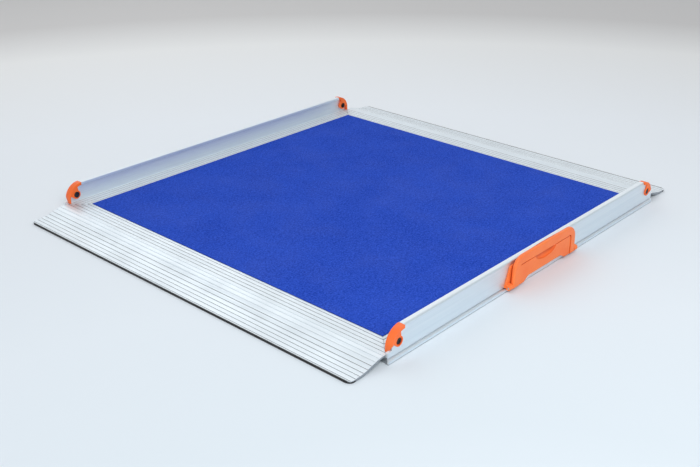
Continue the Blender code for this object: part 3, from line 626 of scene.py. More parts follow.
def webSlotTools():
    # room for the web's rounded end, and for the step of web below the cap's outer tip
    x, z = capCentre
    radius, step, low = webRadius + fit, webStep + fit, frameTop + fit - endCap["rim"]
    before, far, out = x - endCap["rim"], x + endCap["radius"] + endCap["rim"], capHigh.y + past
    outline = arcPoints(capCentre, radius, 90, 0, endCap["steps"])
    outline += [(x + radius, step), (far, step), (far, low), (before, low), (before, z + radius)]
    slot = tracePlate("tool", outline, 1, webInner - fit, rail["web"] + 2 * fit)
    below = block((before, kerbFace, low), (far, out, step))
    neck = x + capInner * math.cos(math.radians(endCap["neckLow"]))
    thin, slantTop = kerbFace + fit + endCap["tipThin"], step + endCap["tipBevel"]
    outline = [(thin, step - past), (out, step - past), (out, slantTop), (capHigh.y, slantTop),
               (thin, step)]
    bevel = tracePlate("tool", outline, 0, neck, far - neck)
    inner, tip = x + capInner, x + endCap["radius"] - endCap["tipWide"]
    outline = [(inner - past, z), (inner, z), (tip, step - past), (inner - past, step - past)]
    taper = tracePlate("tool", outline, 1, kerbFace + fit, out - kerbFace)
    return slot, below, bevel, taper


def makeCap():
    piece = tracePlate("endCapRearLeftFine", capOutline(), 1, capLow.y, capHigh.y - capLow.y)
    roundRim(piece, (capLow.y, capHigh.y), endCap["round"], 4)
    floor, out = kerbFace + fit + endCap["floor"], capHigh.y + past
    bore = boltTool(capBolt["shank"] + fit, webInner, out)
    counterbore = boltTool(endCap["counterbore"], floor, out, 48)
    sleeve = boltTool(capNut["sleeve"] + fit, capLow.y - past, webInner)
    carve(piece, *webSlotTools(), bore, counterbore, sleeve)
    soften(piece, endCap["edge"])
    return piece


boltSeat = fit + endCap["floor"] + fit
boltEnd = boltSeat - capBolt["length"]


def makeBolt():
    top, edge, radius = boltSeat + capBolt["head"], capBolt["edge"], capBolt["radius"]
    profile = [(0, boltEnd), (capBolt["shank"], boltEnd), (capBolt["shank"], boltSeat), (radius, boltSeat)]
    profile += arcPoints((radius - edge, top - edge), edge, 0, 90, 4)
    profile += [(capBolt["socket"] + edge, top), (0, top)]
    piece = spun("capBoltRearLeftFine", profile, 1, boltMiddle)
    carve(piece, boltTool(capBolt["socket"], kerbFace + top - capBolt["socketDepth"],
                          kerbFace + top + past, 6))
    soften(piece, capBolt["soft"])
    return piece


def makeNut():
    # domed sleeve nut, its dome on the wheels' side
    seat, end = capLow.y - kerbFace - fit, -rail["web"] - 2 * fit
    sleeve, dome, steps = capNut["sleeve"], capNut["dome"] * capNut["height"], capNut["domeSteps"]
    profile = [(0, seat - capNut["height"])]
    profile += [(capNut["flange"] * math.cos(a), seat - capNut["height"] + dome * (1 - math.sin(a)))
                for a in [quarter * (1 - i / steps) for i in range(1, steps + 1)]]
    profile += [(capNut["flange"], seat), (sleeve, seat), (sleeve, end), (0, end)]
    piece = spun("capNutRearLeftFine", profile, 1, boltMiddle)
    carve(piece, boltTool(capBolt["shank"] + fit, kerbFace + boltEnd - fit, kerbFace + end + past))
    soften(piece, capNut["soft"])
    return piece


otherCorners = (("front_left", "FrontLeft", flipX), ("rear_right", "RearRight", flipY),
                ("front_right", "FrontRight", halfTurn))
for maker, stem in ((makeCap, "end_cap_"), (makeBolt, "cap_bolt_"), (makeNut, "cap_nut_")):
    first = maker()
    for place, label, move in otherCorners:
        copy = placeCopy(first, first.name.replace("RearLeft", label), move)
        standFor(copy, stem + place)
    standFor(first, stem + "rear_left")
print("end caps done")


# Carrying handle on the right kerb

plate = {
    "thickness": 2.4 * mm,
    "bottom": 8.6 * mm,
    "top": 44.6 * mm,
    "bottomLength": 216.0 * mm,
    "topLength": 190.0 * mm,
    "corner": 2.5 * mm,
    "edge": 0.35 * mm,
}
bail = {
    "footLength": 189.0 * mm,
    "topLength": 184.0 * mm,
    "gapLength": 159.0 * mm,
    "thickness": 7.2 * mm,
    "offPlate": 0.9 * mm,
    "top": 58.2 * mm,
    "crown": 0.9 * mm,
    "barUnderside": 43.2 * mm,
    "gripLength": 120.0 * mm,
    "corner": 22.0 * mm,
    "round": 2.6 * mm,
    "gapCorner": 5.0 * mm,
    "gapEdge": 0.8 * mm,
}
panel = {
    "gap": 1.2 * mm,
    "gapUnderBar": 2.4 * mm,
    "behindBail": 1.2 * mm,
    "edge": 0.7 * mm,
    "foot": 5.8 * mm,
    "arch": 13.4 * mm,
    "archLength": 100.0 * mm,
    "feetApart": 126.0 * mm,
    "footRound": 1.8 * mm,
    "archRound": 3.0 * mm,
}
scoop = {
    "length": 62.0 * mm,
    "height": 12.4 * mm,
    "depth": 7.4 * mm,
    "above": 0.5 * mm,
    "flatness": 0.6,
}
hinge = {
    "height": 8.8 * mm,
    "pin": 1.5 * mm,
    "earLength": 9.5 * mm,
    "earGap": 0.5 * mm,
    "earRise": 6.5 * mm,
    "earRound": 3.2 * mm,
    "overBead": 3.3 * mm,
    "edge": 0.12 * mm,
    "pinRound": 0.25 * mm,
}
bailBack = fit + plate["thickness"] + bail["offPlate"]
bailFront = bailBack + bail["thickness"]
bailFoot = hinge["height"] - bail["thickness"] / 2
hingeOut = bailBack + bail["thickness"] / 2
panelFront = bailFront - panel["behindBail"]
panelTop = bail["barUnderside"] - panel["gapUnderBar"]
earInner = bail["footLength"] / 2 + hinge["earGap"]
earOuter = earInner + hinge["earLength"]


def barTop(steps=24):
    # the bar swells towards the middle of the grip
    points = []
    for i in range(steps + 1):
        place = bail["gripLength"] * (i / steps - 0.5)
        swell = (1 + math.cos(2 * math.pi * place / bail["gripLength"])) / 2
        points.append((place, bail["top"] + bail["crown"] * swell))
    return points


def outFromKerb(name, outline, near, far):
    # outline of (x, z), pulled outwards from the right kerb
    return tracePlate(name, outline, 1, -kerbFace - near, near - far)


def pinTools(near, far):
    return [rodAlong(0, hinge["pin"] + fit, (-kerbFace - hingeOut, hinge["height"]),
                     *sorted((side * near, side * far))) for side in (-1, 1)]


def makeBail():
    foot, top, gap = bail["footLength"] / 2, bail["topLength"] / 2, bail["gapLength"] / 2
    under = bail["barUnderside"]
    outline = [(-foot, bailFoot), (-top, bail["top"]), *barTop(), (top, bail["top"]), (foot, bailFoot),
               (gap, bailFoot), (gap, under), (-gap, under), (-gap, bailFoot)]
    piece = outFromKerb("bailFine", outline, bailBack, bailFront)
    roundLong(piece, 1, [(top, bail["top"]), (-top, bail["top"])], bail["corner"], 12)
    roundLong(piece, 1, [(gap, under), (-gap, under)], bail["gapCorner"], 8)

    def atGap(place):
        return abs(place.x) < gap + past and place.z < under + past
    faces = (-kerbFace - bailBack, -kerbFace - bailFront)
    roundRim(piece, faces, bail["round"], 6, lambda place: not atGap(place))
    roundRim(piece, faces, bail["gapEdge"], 3, atGap)
    joinDoubles(close)
    carve(piece, *pinTools(gap - past, foot + past))
    soften(piece, hinge["edge"], sharperThan=50)
    standFor(piece, "handle_bail", "carry_handle")


def makePanel():
    half, feet, arch = bail["gapLength"] / 2 - panel["gap"], panel["feetApart"] / 2, panel["archLength"] / 2
    foot, archTop = panel["foot"], panel["arch"]
    outline = [(-half, foot), (-half, panelTop), (half, panelTop), (half, foot),
               (feet, foot), (arch, archTop), (-arch, archTop), (-feet, foot)]
    piece = outFromKerb("panel", outline, fit + plate["thickness"] / 2, panelFront)
    for x, z, width, segments in ((half, panelTop, bail["gapCorner"] - panel["gap"], 7),
                                  (half, foot, panel["footRound"], 5),
                                  (feet, foot, panel["footRound"] / 2, 4),
                                  (arch, archTop, panel["archRound"] / 2, 4)):
        roundLong(piece, 1, [(x, z), (-x, z)], width, segments)
    roundRim(piece, [-kerbFace - panelFront], panel["edge"], 3)
    overBead = block((-half - past, -kerbFace - hinge["overBead"], 0),
                     (half + past, -kerbFace + past, plate["bottom"] + fit))
    carve(piece, overBead)
    return piece


def scoopTool():
    # flat-bottomed bowl that hollows the panel's top edge for the fingers
    startFresh()
    bpy.ops.mesh.primitive_uv_sphere_add(segments=48, ring_count=24, radius=1)
    piece = bpy.context.object
    for vert in piece.data.vertices:
        vert.co.y = math.copysign(abs(vert.co.y) ** scoop["flatness"], vert.co.y)
    piece.scale = (scoop["length"] / 2, scoop["depth"], scoop["height"])
    piece.location = (0, -kerbFace - panelFront, panelTop + scoop["above"])
    bpy.ops.object.transform_apply(location=True, rotation=True, scale=True)
    return piece


def makeEar(side):
    radius = bail["thickness"] / 2
    back, front = fit + plate["thickness"] / 2, hingeOut + radius
    low, high, sill = hinge["height"] - radius, hinge["height"] + radius, plate["bottom"] + fit
    outline = [(back, sill), (hinge["overBead"], sill), (hinge["overBead"], low), (front, low),
               (front, high), (back, hinge["height"] + hinge["earRise"])]
    start, end = sorted((side * earInner, side * earOuter))
    piece = tracePlate("ear", [(-kerbFace - a, b) for a, b in outline], 0, start, end - start)
    roundLong(piece, 0, [(-kerbFace - front, low), (-kerbFace - front, high)], hinge["earRound"], 6)
    return piece


def makeBase():
    bottom, top = plate["bottomLength"] / 2, plate["topLength"] / 2
    outline = [(-bottom, plate["bottom"]), (bottom, plate["bottom"]), (top, plate["top"]),
               (-top, plate["top"])]
    piece = outFromKerb("handleBaseFine", outline, fit, fit + plate["thickness"])
    roundLong(piece, 1, outline, plate["corner"], 6)
    roundRim(piece, [-kerbFace - fit - plate["thickness"]], plate["edge"], 3)
    combine(piece, makePanel(), "UNION")
    carve(piece, scoopTool())
    for side in (-1, 1):
        combine(piece, makeEar(side), "UNION")
    carve(piece, *pinTools(earInner - past, earOuter + past))
    carve(piece, *handleScrewTools(-kerbFace - handleScrew["hole"], -kerbFace + past))
    soften(piece, hinge["edge"], sharperThan=50)
    standFor(piece, "handle_base")


def makePins():
    inner, outer, radius = bail["gapLength"] / 2 + fit, earOuter - fit, hinge["pin"]
    profile = [(0, inner), (radius, inner), (radius, outer), (0, outer)]
    piece = spun("hingePinRearFine", profile, 0, (0, -kerbFace - hingeOut, hinge["height"]), 24)
    soften(piece, hinge["pinRound"], 3)
    copy = placeCopy(piece, "hingePinFrontFine", flipX)
    standFor(piece, "handle_pin_rear")
    standFor(copy, "handle_pin_front")


def makeHandleScrew():
    # pan head with a cross recess against the web's inner face
    seat = rail["web"] + fit
    top, end = seat + handleScrew["headHeight"], -handleScrew["bite"]
    middle = Vector((screwPlaces[0], -kerbFace, handleScrew["above"]))
    head, shank, curve = handleScrew["head"], handleScrew["shank"], handleScrew["headRound"]
    profile = [(0, top), (handleScrew["flat"], top)]
    profile += arcPoints((head - curve, top - curve), curve, 90, 0, 6)
    profile += [(head, seat), (shank, seat), (shank, end), (0, end)]
    piece = spun("handleScrewFine1", profile, 1, middle, 32)
    middle.y += top
    for wide, tall in (("crossLong", "crossWide"), ("crossWide", "crossLong")):
        half = Vector((handleScrew[wide] / 2, 0, handleScrew[tall] / 2))
        deep = Vector((0, handleScrew["crossDeep"], 0))
        carve(piece, block(middle - half - deep, middle + half + Vector((0, past, 0))))
    soften(piece, handleScrew["soft"])
    for number in range(2, handleScrew["count"] + 1):
        move = Matrix.Translation(((number - 1) * handleScrew["spacing"], 0, 0))
        standFor(placeCopy(piece, f"handleScrewFine{number}", move), f"handle_screw_{number}")
    standFor(piece, "handle_screw_1")


makeBail()
makeBase()
makePins()
makeHandleScrew()
print("handle done")


# Node tools

def feed(tree, node, inputs):
    # inputs: a socket's name or number, with a value or the socket that feeds it
    for name, value in inputs.items():
        if isinstance(value, bpy.types.NodeSocket):
            tree.links.new(value, node.inputs[name])
        else:
            node.inputs[name].default_value = value


def addNode(tree, kind, inputs, **settings):
    made = tree.nodes.new(kind)
    for name, value in settings.items():
        setattr(made, name, value)
    feed(tree, made, inputs)
    return made


def useGroup(tree, group, inputs):
    return addNode(tree, "ShaderNodeGroup", inputs, node_tree=group).outputs


def calculate(tree, how, *values):
    return addNode(tree, "ShaderNodeMath", dict(enumerate(values)), operation=how).outputs[0]


def multiply(tree, first, *others):
    for other in others:
        first = calculate(tree, "MULTIPLY", first, other)
    return first


def highest(tree, first, *others):
    for other in others:
        first = calculate(tree, "MAXIMUM", first, other)
    return first


def addTimes(tree, base, value, factor):
    # base plus the value times the factor
    return calculate(tree, "MULTIPLY_ADD", value, factor, base)


def remap(tree, value, low, high, toLow=0, toHigh=1):
    inputs = dict(enumerate((value, low, high, toLow, toHigh)))
    return addNode(tree, "ShaderNodeMapRange", inputs).outputs[0]


def blendColours(tree, share, first, second):
    inputs = {0: share, 6: first, 7: second}
    return addNode(tree, "ShaderNodeMix", inputs, data_type="RGBA").outputs[2]


def opaque(colour):
    return (*colour, 1)


def paintOver(tree, under, colour, mask, share=None):
    # lays a plain colour over another where the mask is 1
    if share is not None:
        mask = multiply(tree, mask, share)
    return blendColours(tree, mask, under, opaque(colour))


def colourRamp(tree, value, stops):
    ramp = addNode(tree, "ShaderNodeValToRGB", {0: value})
    while len(ramp.color_ramp.elements) < len(stops):
        ramp.color_ramp.elements.new(1.0)
    for element, (place, colour) in zip(ramp.color_ramp.elements, stops):
        element.position = place
        element.color = opaque(colour)
    return ramp.outputs[0]


def noise(tree, place, scale, detail):
    inputs = {"Vector": place, "Scale": scale, "Detail": detail}
    return addNode(tree, "ShaderNodeTexNoise", inputs).outputs[0]


def patches(tree, place, scale, detail, low, high, toLow=0, toHigh=1):
    # a noise, stretched so that its middle part fills the whole range
    return remap(tree, noise(tree, place, scale, detail), low, high, toLow, toHigh)


def cells(tree, place, scale):
    return addNode(tree, "ShaderNodeTexVoronoi", {"Vector": place, "Scale": scale}).outputs


def mapped(tree, place, scale=(1, 1, 1), turn=0):
    inputs = {"Vector": place, "Scale": scale, "Rotation": (0, 0, turn)}
    return addNode(tree, "ShaderNodeMapping", inputs).outputs[0]


def splitUp(tree, vector):
    return addNode(tree, "ShaderNodeSeparateXYZ", {0: vector}).outputs


def fromMiddle(tree, place):
    # distances from the ramp's middle along X and Y, and the height
    parts = splitUp(tree, place)
    return calculate(tree, "ABSOLUTE", parts[0]), calculate(tree, "ABSOLUTE", parts[1]), parts[2]


def normalPart(tree, axis):
    return splitUp(tree, addNode(tree, "ShaderNodeNewGeometry", {}).outputs["Normal"])[axis]


def upward(tree, low, high, toLow=0, toHigh=1):
    # follows how far the surface faces up: 1 is straight up, -1 straight down
    return remap(tree, normalPart(tree, 2), low, high, toLow, toHigh)


def facing(tree, axis, low, high):
    # follows how squarely the surface faces either way along one axis
    return remap(tree, calculate(tree, "ABSOLUTE", normalPart(tree, axis)), low, high)


def compare(tree, how, first, second):
    inputs = {0: first, 1: second}
    return addNode(tree, "ShaderNodeVectorMath", inputs, operation=how).outputs["Value"]


def newGroup(name, inputs):
    # an input without a value is a vector
    group = bpy.data.node_groups.new(name, "ShaderNodeTree")
    for label, value in inputs.items():
        kind = "NodeSocketVector" if value is None else "NodeSocketFloat"
        socket = group.interface.new_socket(label, in_out="INPUT", socket_type=kind)
        if value is not None:
            socket.default_value = value
    return group, group.nodes.new("NodeGroupInput").outputs


def giveOut(group, results):
    for label in results:
        group.interface.new_socket(label, in_out="OUTPUT", socket_type="NodeSocketFloat")
    addNode(group, "NodeGroupOutput", results)
    return group


# Effects that several finishes share, each built once

def drawnLinesGroup():
    # lines that a die or a roll leaves along the X of the vector
    group, given = newGroup("drawnLines", {"Vector": None})
    place = given["Vector"]
    lines = patches(group, mapped(group, place, (5, 1100, 1100)), 1, 3, 0.32, 0.68)
    bands = patches(group, mapped(group, place, (2, 130, 130)), 1, 2, 0.3, 0.7)
    height = addTimes(group, lines, noise(group, place, 1700, 1), 0.4)
    return giveOut(group, {"Lines": lines, "Bands": bands, "Height": height})


def edgeWearGroup():
    # the edges that hands and floors touch, broken up by a noise
    group, given = newGroup("edgeWear", {"Vector": None, "Radius": 0.5 * mm})
    rounded = addNode(group, "ShaderNodeBevel", {"Radius": given["Radius"]}, samples=4).outputs[0]
    normal = addNode(group, "ShaderNodeNewGeometry", {}).outputs["Normal"]
    edge = remap(group, compare(group, "DOT_PRODUCT", rounded, normal), 0.99, 0.86)
    broken = patches(group, given["Vector"], 140, 4, 0.38, 0.62, 0.25, 1)
    return giveOut(group, {"Wear": multiply(group, edge, broken)})


def dustGroup():
    # a thin film that settles on what faces up
    group, given = newGroup("dustFilm", {"Vector": None})
    up = upward(group, 0.1, 0.9, 0.15, 1)
    specks = patches(group, given["Vector"], 420, 2, 0.56, 0.7)
    clouds = patches(group, given["Vector"], 14, 4, 0.42, 0.66, 0, 0.7)
    film = highest(group, multiply(group, specks, 0.5), clouds)
    return giveOut(group, {"Dust": multiply(group, film, up)})


def gritGroup():
    # bonded grains: each has its own shade, and they lie in slow drifts
    group, given = newGroup("bondedGrit", {"Vector": None, "Grain": 900.0})
    place, scale = given["Vector"], given["Grain"]
    coarse, small = cells(group, place, scale), cells(group, place, multiply(group, scale, 2.3))
    shade = addNode(group, "ShaderNodeSeparateColor", {0: coarse["Color"]}).outputs[0]
    clumps = patches(group, place, 330, 2, 0.35, 0.65)
    drifts = patches(group, place, 9, 5, 0.35, 0.65)
    bumps = [calculate(group, "SUBTRACT", 1, size["Distance"]) for size in (coarse, small)]
    height = addTimes(group, *bumps, 0.4)
    grains = addTimes(group, multiply(group, shade, 0.5), clumps, 0.5)
    return giveOut(group, {"Height": height, "Grains": grains, "Drifts": drifts})


def mouldedGroup():
    # spark-eroded skin of a mould, and the slow tone of thick and thin plastic
    group, given = newGroup("mouldedSkin", {"Vector": None, "Grain": 1500.0})
    place, scale = given["Vector"], given["Grain"]
    coarse = noise(group, place, multiply(group, scale, 0.28), 2)
    height = addTimes(group, noise(group, place, scale, 2), coarse, 0.7)
    return giveOut(group, {"Height": height, "Tone": patches(group, place, 22, 3, 0.35, 0.65)})


def occlusionShadeGroup():
    # narrow gaps and inner corners, darkened as painted shade
    group, given = newGroup("crevices", {"Reach": 4 * mm})
    inputs = {"Distance": given["Reach"]}
    clear = addNode(group, "ShaderNodeAmbientOcclusion", inputs, samples=4).outputs["AO"]
    return giveOut(group, {"Depth": remap(group, clear, 0.5, 0.12)})


drawnLines = drawnLinesGroup()
edgeWear = edgeWearGroup()
dustFilm = dustGroup()
bondedGrit = gritGroup()
mouldedSkin = mouldedGroup()
crevices = occlusionShadeGroup()


# Finishes

def newFinish(name):
    made = bpy.data.materials.new(name)
    made.use_nodes = True
    tree = made.node_tree
    return made, tree, addNode(tree, "ShaderNodeTexCoord", {}).outputs["Object"]


def dress(made, own, colour, roughness, height, metal=0):
    # the height stands out by the finish's own depth
    tree = made.node_tree
    relief = {"Height": height, "Distance": own["depth"], "Strength": own.get("relief", 1.0)}
    feed(tree, tree.nodes["Principled BSDF"], {
        "Base Color": colour, "Roughness": roughness, "Metallic": metal,
        "Specular IOR Level": own.get("shine", 0.5),
        "Normal": addNode(tree, "ShaderNodeBump", relief).outputs[0]})
    return made


def layered(tree, own, base, layers):
    # a finish's first colour with others over it, each where its mask says and as far as its share
    colour = opaque(own[base])
    for name, mask in layers.items():
        colour = paintOver(tree, colour, own[name], mask, own.get(name + "Share"))
    return colour


def skinRoughness(tree, skin, own):
    # the low places of a moulded skin are the smoother ones
    return remap(tree, skin["Height"], 0.6, 1.1, own["smooth"], own["rough"])


drawn = {
    "colour": (0.81, 0.885, 0.94),
    "lines": (0.71, 0.79, 0.85),
    "linesShare": 0.5,
    "bands": (0.84, 0.905, 0.95),
    "bandsShare": 0.6,
    "edges": (0.92, 0.95, 0.97),
    "edgeRadius": 0.5 * mm,
    "dust": (0.55, 0.56, 0.56),
    "dustShare": 0.12,
    # dark grooves: dirt, and painted shade in the grooves
    "dirtAndShade": (0.15, 0.16, 0.17),
    "slopeDirtAndShade": 0.06,
    "slopeFrom": 1.8 * mm,       # from this far below the top down, grooves are darkened only as little as the slope's
    "levelTo": 1.0 * mm,         # down to this far below it, they are as dark as the band's
    "edgesRough": -0.1,
    "dustRough": 0.1,
    "dirtAndShadeRough": 0.3,
    "webRough": 0.16,
    "footHeight": 1.5 * mm,
    # painted shade under the lips, on faces that look down, and as a contact line along the foot
    "under": (0.20, 0.205, 0.21),
    "underShare": 0.75,
    # painted shade in gaps and inner corners
    "crevice": (0.30, 0.33, 0.36),
    "creviceShare": 0.1,
    "creviceShadeReach": 5.0 * mm,
    "smooth": 0.42,
    "rough": 0.56,
    "depth": 0.006 * mm,
}
drawnRail = {
    "axis": 0,
    "last": webInner,
    "bandDirtAndShade": 0.9,
    "bandDull": 0.85,
    # bare sawn ends of the rails, lighter
    "sawnEndsAndShade": (0.93, 0.95, 0.96),
}
drawnLip = {
    "axis": 1,
    "last": toe,
    "bandDirtAndShade": 0.02,
    "bandDull": 0.3,
    # the lips' sawn ends, darkened as painted shade
    "sawnEndsAndShade": (0.42, 0.46, 0.50),
}


def grooveDirtAndShade(tree, out, height, own):
    # how far the grip grooves are darkened, as dirt and as painted shade; out is the distance from the
    # middle, across them
    first = gripHigh[1 - own["axis"]] + fit + band["firstRib"]
    off = calculate(tree, "PINGPONG", calculate(tree, "SUBTRACT", out, first), band["ribPitch"] / 2)
    dirtAndShade = remap(tree, off, 0.5 * band["ribWidth"], 0.4 * band["ribWidth"])
    inside = remap(tree, out, own["last"] - fit, own["last"], 1, 0)
    low = remap(tree, height, frameTop + fit, frameTop + 2 * fit, 1, 0)
    level = remap(tree, height, frameTop - drawn["slopeFrom"], frameTop - drawn["levelTo"],
                  drawn["slopeDirtAndShade"], own["bandDirtAndShade"])
    return multiply(tree, dirtAndShade, inside, low, upward(tree, 0.04, 0.14), level)


def shadedUndersides(tree, away, side, height):
    # painted shade: 1 on the upright faces below the lips, on what faces down, and on the foot that meets
    # the floor
    ends = remap(tree, away, bandEnd + fit, bandEnd + 2 * fit, 1, 0)
    low = remap(tree, height, frameTop - lip["wing"] - mm, frameTop - lip["wing"], 1, 0)
    low = multiply(tree, low, remap(tree, side, kerbFace, kerbFace + fit, 1, 0))
    sheltered = multiply(tree, highest(tree, ends, low), facing(tree, 0, 0.6, 0.9))
    foot = remap(tree, height, 0.6 * drawn["footHeight"], drawn["footHeight"], 1, 0)
    return highest(tree, sheltered, upward(tree, -0.3, -0.8), foot)


def drawnAluminium(name, own):
    # satin anodised extrusion, drawn along one axis, with sawn ends
    made, tree, place = newFinish(name)
    away, side, height = fromMiddle(tree, place)
    # grooves darkened as dirt and as painted shade
    dirtAndShade = grooveDirtAndShade(tree, (side, away)[own["axis"]], height, own)
    place = mapped(tree, place, turn=own["axis"] * quarter)
    lines = useGroup(tree, drawnLines, {"Vector": place})
    wear = useGroup(tree, edgeWear, {"Vector": place, "Radius": drawn["edgeRadius"]})["Wear"]
    dust = useGroup(tree, dustFilm, {"Vector": place})["Dust"]
    crevice = useGroup(tree, crevices, {"Reach": drawn["creviceShadeReach"]})["Depth"]
    sawn = facing(tree, own["axis"], 0.8, 0.95)
    colour = layered(tree, {**drawn, **own}, "colour", {
        "lines": lines["Lines"], "bands": lines["Bands"], "edges": wear, "sawnEndsAndShade": sawn, "dust": dust,
        "dirtAndShade": dirtAndShade, "crevice": crevice, "under": shadedUndersides(tree, away, side, height)})
    web = multiply(tree, facing(tree, 1, 0.8, 0.95), remap(tree, side, webInner + fit, webInner + mm, 1, 0))
    rough = remap(tree, lines["Lines"], 0, 1, drawn["smooth"], drawn["rough"])
    for where, mask in (("edges", wear), ("dust", dust), ("dirtAndShade", dirtAndShade), ("web", web)):
        rough = addTimes(tree, rough, mask, drawn[where + "Rough"])
    dull = upward(tree, 0.99, 0.998, 0, own["bandDull"])
    metal = calculate(tree, "SUBTRACT", 1, highest(tree, dirtAndShade, dull))
    return dress(made, drawn, colour, rough, lines["Height"], metal)


rolled = {
    "colour": (0.70, 0.73, 0.76),
    "lines": (0.52, 0.55, 0.58),
    "scuffs": (0.80, 0.82, 0.84),
    "scuffsShare": 0.6,
    "smooth": 0.32,
    "rough": 0.55,
    "depth": 0.01 * mm,
}


def rolledAluminium(name, turn):
    # bare sheet and bar with the lines of the mill
    made, tree, place = newFinish(name)
    place = mapped(tree, place, turn=turn)
    lines = useGroup(tree, drawnLines, {"Vector": place})
    scuffs = patches(tree, mapped(tree, place, (9, 60, 60)), 1, 5, 0.55, 0.68)
    colour = layered(tree, rolled, "colour", {"lines": lines["Lines"], "scuffs": scuffs})
    rough = remap(tree, lines["Bands"], 0, 1, rolled["smooth"], rolled["rough"])
    return dress(made, rolled, colour, rough, lines["Height"], 1.0)


grit = {
    "dark": (0.0044, 0.032, 0.332),
    "light": (0.0364, 0.1104, 0.676),
    "drift": (0.042, 0.122, 0.72),
    "driftShare": 0.16,
    # painted shade along the sheet's edges
    "edgeShade": (0.02, 0.065, 0.40),
    "edgeShadeWidth": 0.8 * mm,
    "dust": (0.4, 0.42, 0.45),
    "dustShare": 0.03,
    "grain": 900.0,
    "depth": 0.35 * mm,
    "relief": 0.7,
    "smooth": 0.78,
    "rough": 0.9,
    "shine": 0.05,
}


def blueGrit():
    # grains bonded in a blue coat, with a painted shade line along the sheet's edges
    made, tree, place = newFinish("blueGrit")
    grains = useGroup(tree, bondedGrit, {"Vector": place, "Grain": grit["grain"]})
    dust = useGroup(tree, dustFilm, {"Vector": place})["Dust"]
    away, side = fromMiddle(tree, place)[:2]
    out = highest(tree, calculate(tree, "SUBTRACT", away, gripHigh.x),
                  calculate(tree, "SUBTRACT", side, gripHigh.y))
    edgeShade = remap(tree, out, -grit["edgeShadeWidth"], -0.5 * grit["edgeShadeWidth"])
    colour = layered(tree, grit, "dark", {"light": grains["Grains"], "drift": grains["Drifts"],
                                          "dust": dust, "edgeShade": edgeShade})
    rough = remap(tree, grains["Grains"], 0, 1, grit["rough"], grit["smooth"])
    return dress(made, grit, colour, rough, grains["Height"])


plastic = {
    "cap": (1.0, 0.185, 0.030),
    "capDeep": (0.96, 0.145, 0.018),
    "handle": (1.0, 0.235, 0.055),
    "handleDeep": (0.97, 0.185, 0.036),
    # lighter orange on the rounded edges: wear, and a painted highlight
    "edges": (1.0, 0.29, 0.09),
    "edgesShare": 0.6,
    "edgesRough": 0.08,
    "edgeRadius": 0.6 * mm,
    # painted shade in gaps and inner corners of the handle and caps
    "crevice": (0.64, 0.042, 0.005),
    "creviceShare": 0.8,
    "creviceShadeReach": 12.0 * mm,
    # painted shade deep in the finger scoop under the bar
    "scoopShade": (0.55, 0.045, 0.006),
    "scoopShadeShare": 0.85,
    "dust": (0.75, 0.60, 0.52),
    "dustShare": 0.08,
    "smooth": 0.34,
    "rough": 0.46,
    "shine": 0.35,
    "grain": 1500.0,
    "depth": 0.03 * mm,
}


def scoopShadeMask(tree, place):
    # 0 at the panel's front, 1 at the back of its finger scoop, where shade is painted
    along, out, height = fromMiddle(tree, place)
    front = kerbFace + panelFront
    depth = remap(tree, out, front - mm, front - 0.7 * scoop["depth"])
    inside = remap(tree, along, 0.5 * scoop["length"], 0.45 * scoop["length"])
    rise = remap(tree, height, 0.7 * bail["barUnderside"], 0.9 * bail["barUnderside"])
    return multiply(tree, depth, inside, rise)


def orangePlastic(kind):
    # the deep colour is where the moulding is thick
    made, tree, place = newFinish(kind + "Orange")
    skin = useGroup(tree, mouldedSkin, {"Vector": place, "Grain": plastic["grain"]})
    wear = useGroup(tree, edgeWear, {"Vector": place, "Radius": plastic["edgeRadius"]})["Wear"]
    dust = useGroup(tree, dustFilm, {"Vector": place})["Dust"]
    crevice = useGroup(tree, crevices, {"Reach": plastic["creviceShadeReach"]})["Depth"]
    colour = layered(tree, plastic, kind, {kind + "Deep": skin["Tone"], "edges": wear, "dust": dust,
                                           "crevice": crevice, "scoopShade": scoopShadeMask(tree, place)})
    rough = addTimes(tree, skinRoughness(tree, skin, plastic), wear, plastic["edgesRough"])
    return dress(made, plastic, colour, rough, skin["Height"])


strip = {
    "colour": (0.010, 0.0105, 0.012),
    "grey": (0.026, 0.027, 0.029),
    "dust": (0.35, 0.34, 0.32),
    "dustShare": 0.2,
    "smooth": 0.68,
    "rough": 0.88,
    "grain": 1100.0,
    "depth": 0.06 * mm,
}


def blackRubber():
    made, tree, place = newFinish("blackRubber")
    skin = useGroup(tree, mouldedSkin, {"Vector": place, "Grain": strip["grain"]})
    dust = useGroup(tree, dustFilm, {"Vector": place})["Dust"]
    colour = layered(tree, strip, "colour", {"grey": skin["Tone"], "dust": dust})
    return dress(made, strip, colour, skinRoughness(tree, skin, strip), skin["Height"])


fastener = {
    "edgeRadius": 0.25 * mm,
    "grain": 2600.0,
    "depth": 0.008 * mm,
    "worn": 0.6,
    "spotted": 0.35,
}
zinc = {
    "colour": (0.62, 0.64, 0.66),
    "second": (0.44, 0.46, 0.48),
    "smooth": 0.28,
    "rough": 0.46,
}
blackCoat = {
    "colour": (0.018, 0.02, 0.026),
    "second": (0.16, 0.17, 0.19),
    "smooth": 0.34,
    "rough": 0.5,
}


def fastenerMetal(name, coat):
    # the second colour is where a plating is dull, or a black coat is worn through at the edges
    made, tree, place = newFinish(name)
    skin = useGroup(tree, mouldedSkin, {"Vector": place, "Grain": fastener["grain"]})
    wear = useGroup(tree, edgeWear, {"Vector": place, "Radius": fastener["edgeRadius"]})["Wear"]
    share = addTimes(tree, multiply(tree, wear, fastener["worn"]), skin["Tone"], fastener["spotted"])
    colour = layered(tree, coat, "colour", {"second": share})
    return dress(made, fastener, colour, skinRoughness(tree, skin, coat), skin["Height"], 1.0)


board = {
    "light": (0.66, 0.50, 0.32),
    "dark": (0.46, 0.31, 0.17),
    "smooth": 0.72,
    "rough": 0.88,
    "depth": 0.08 * mm,
}


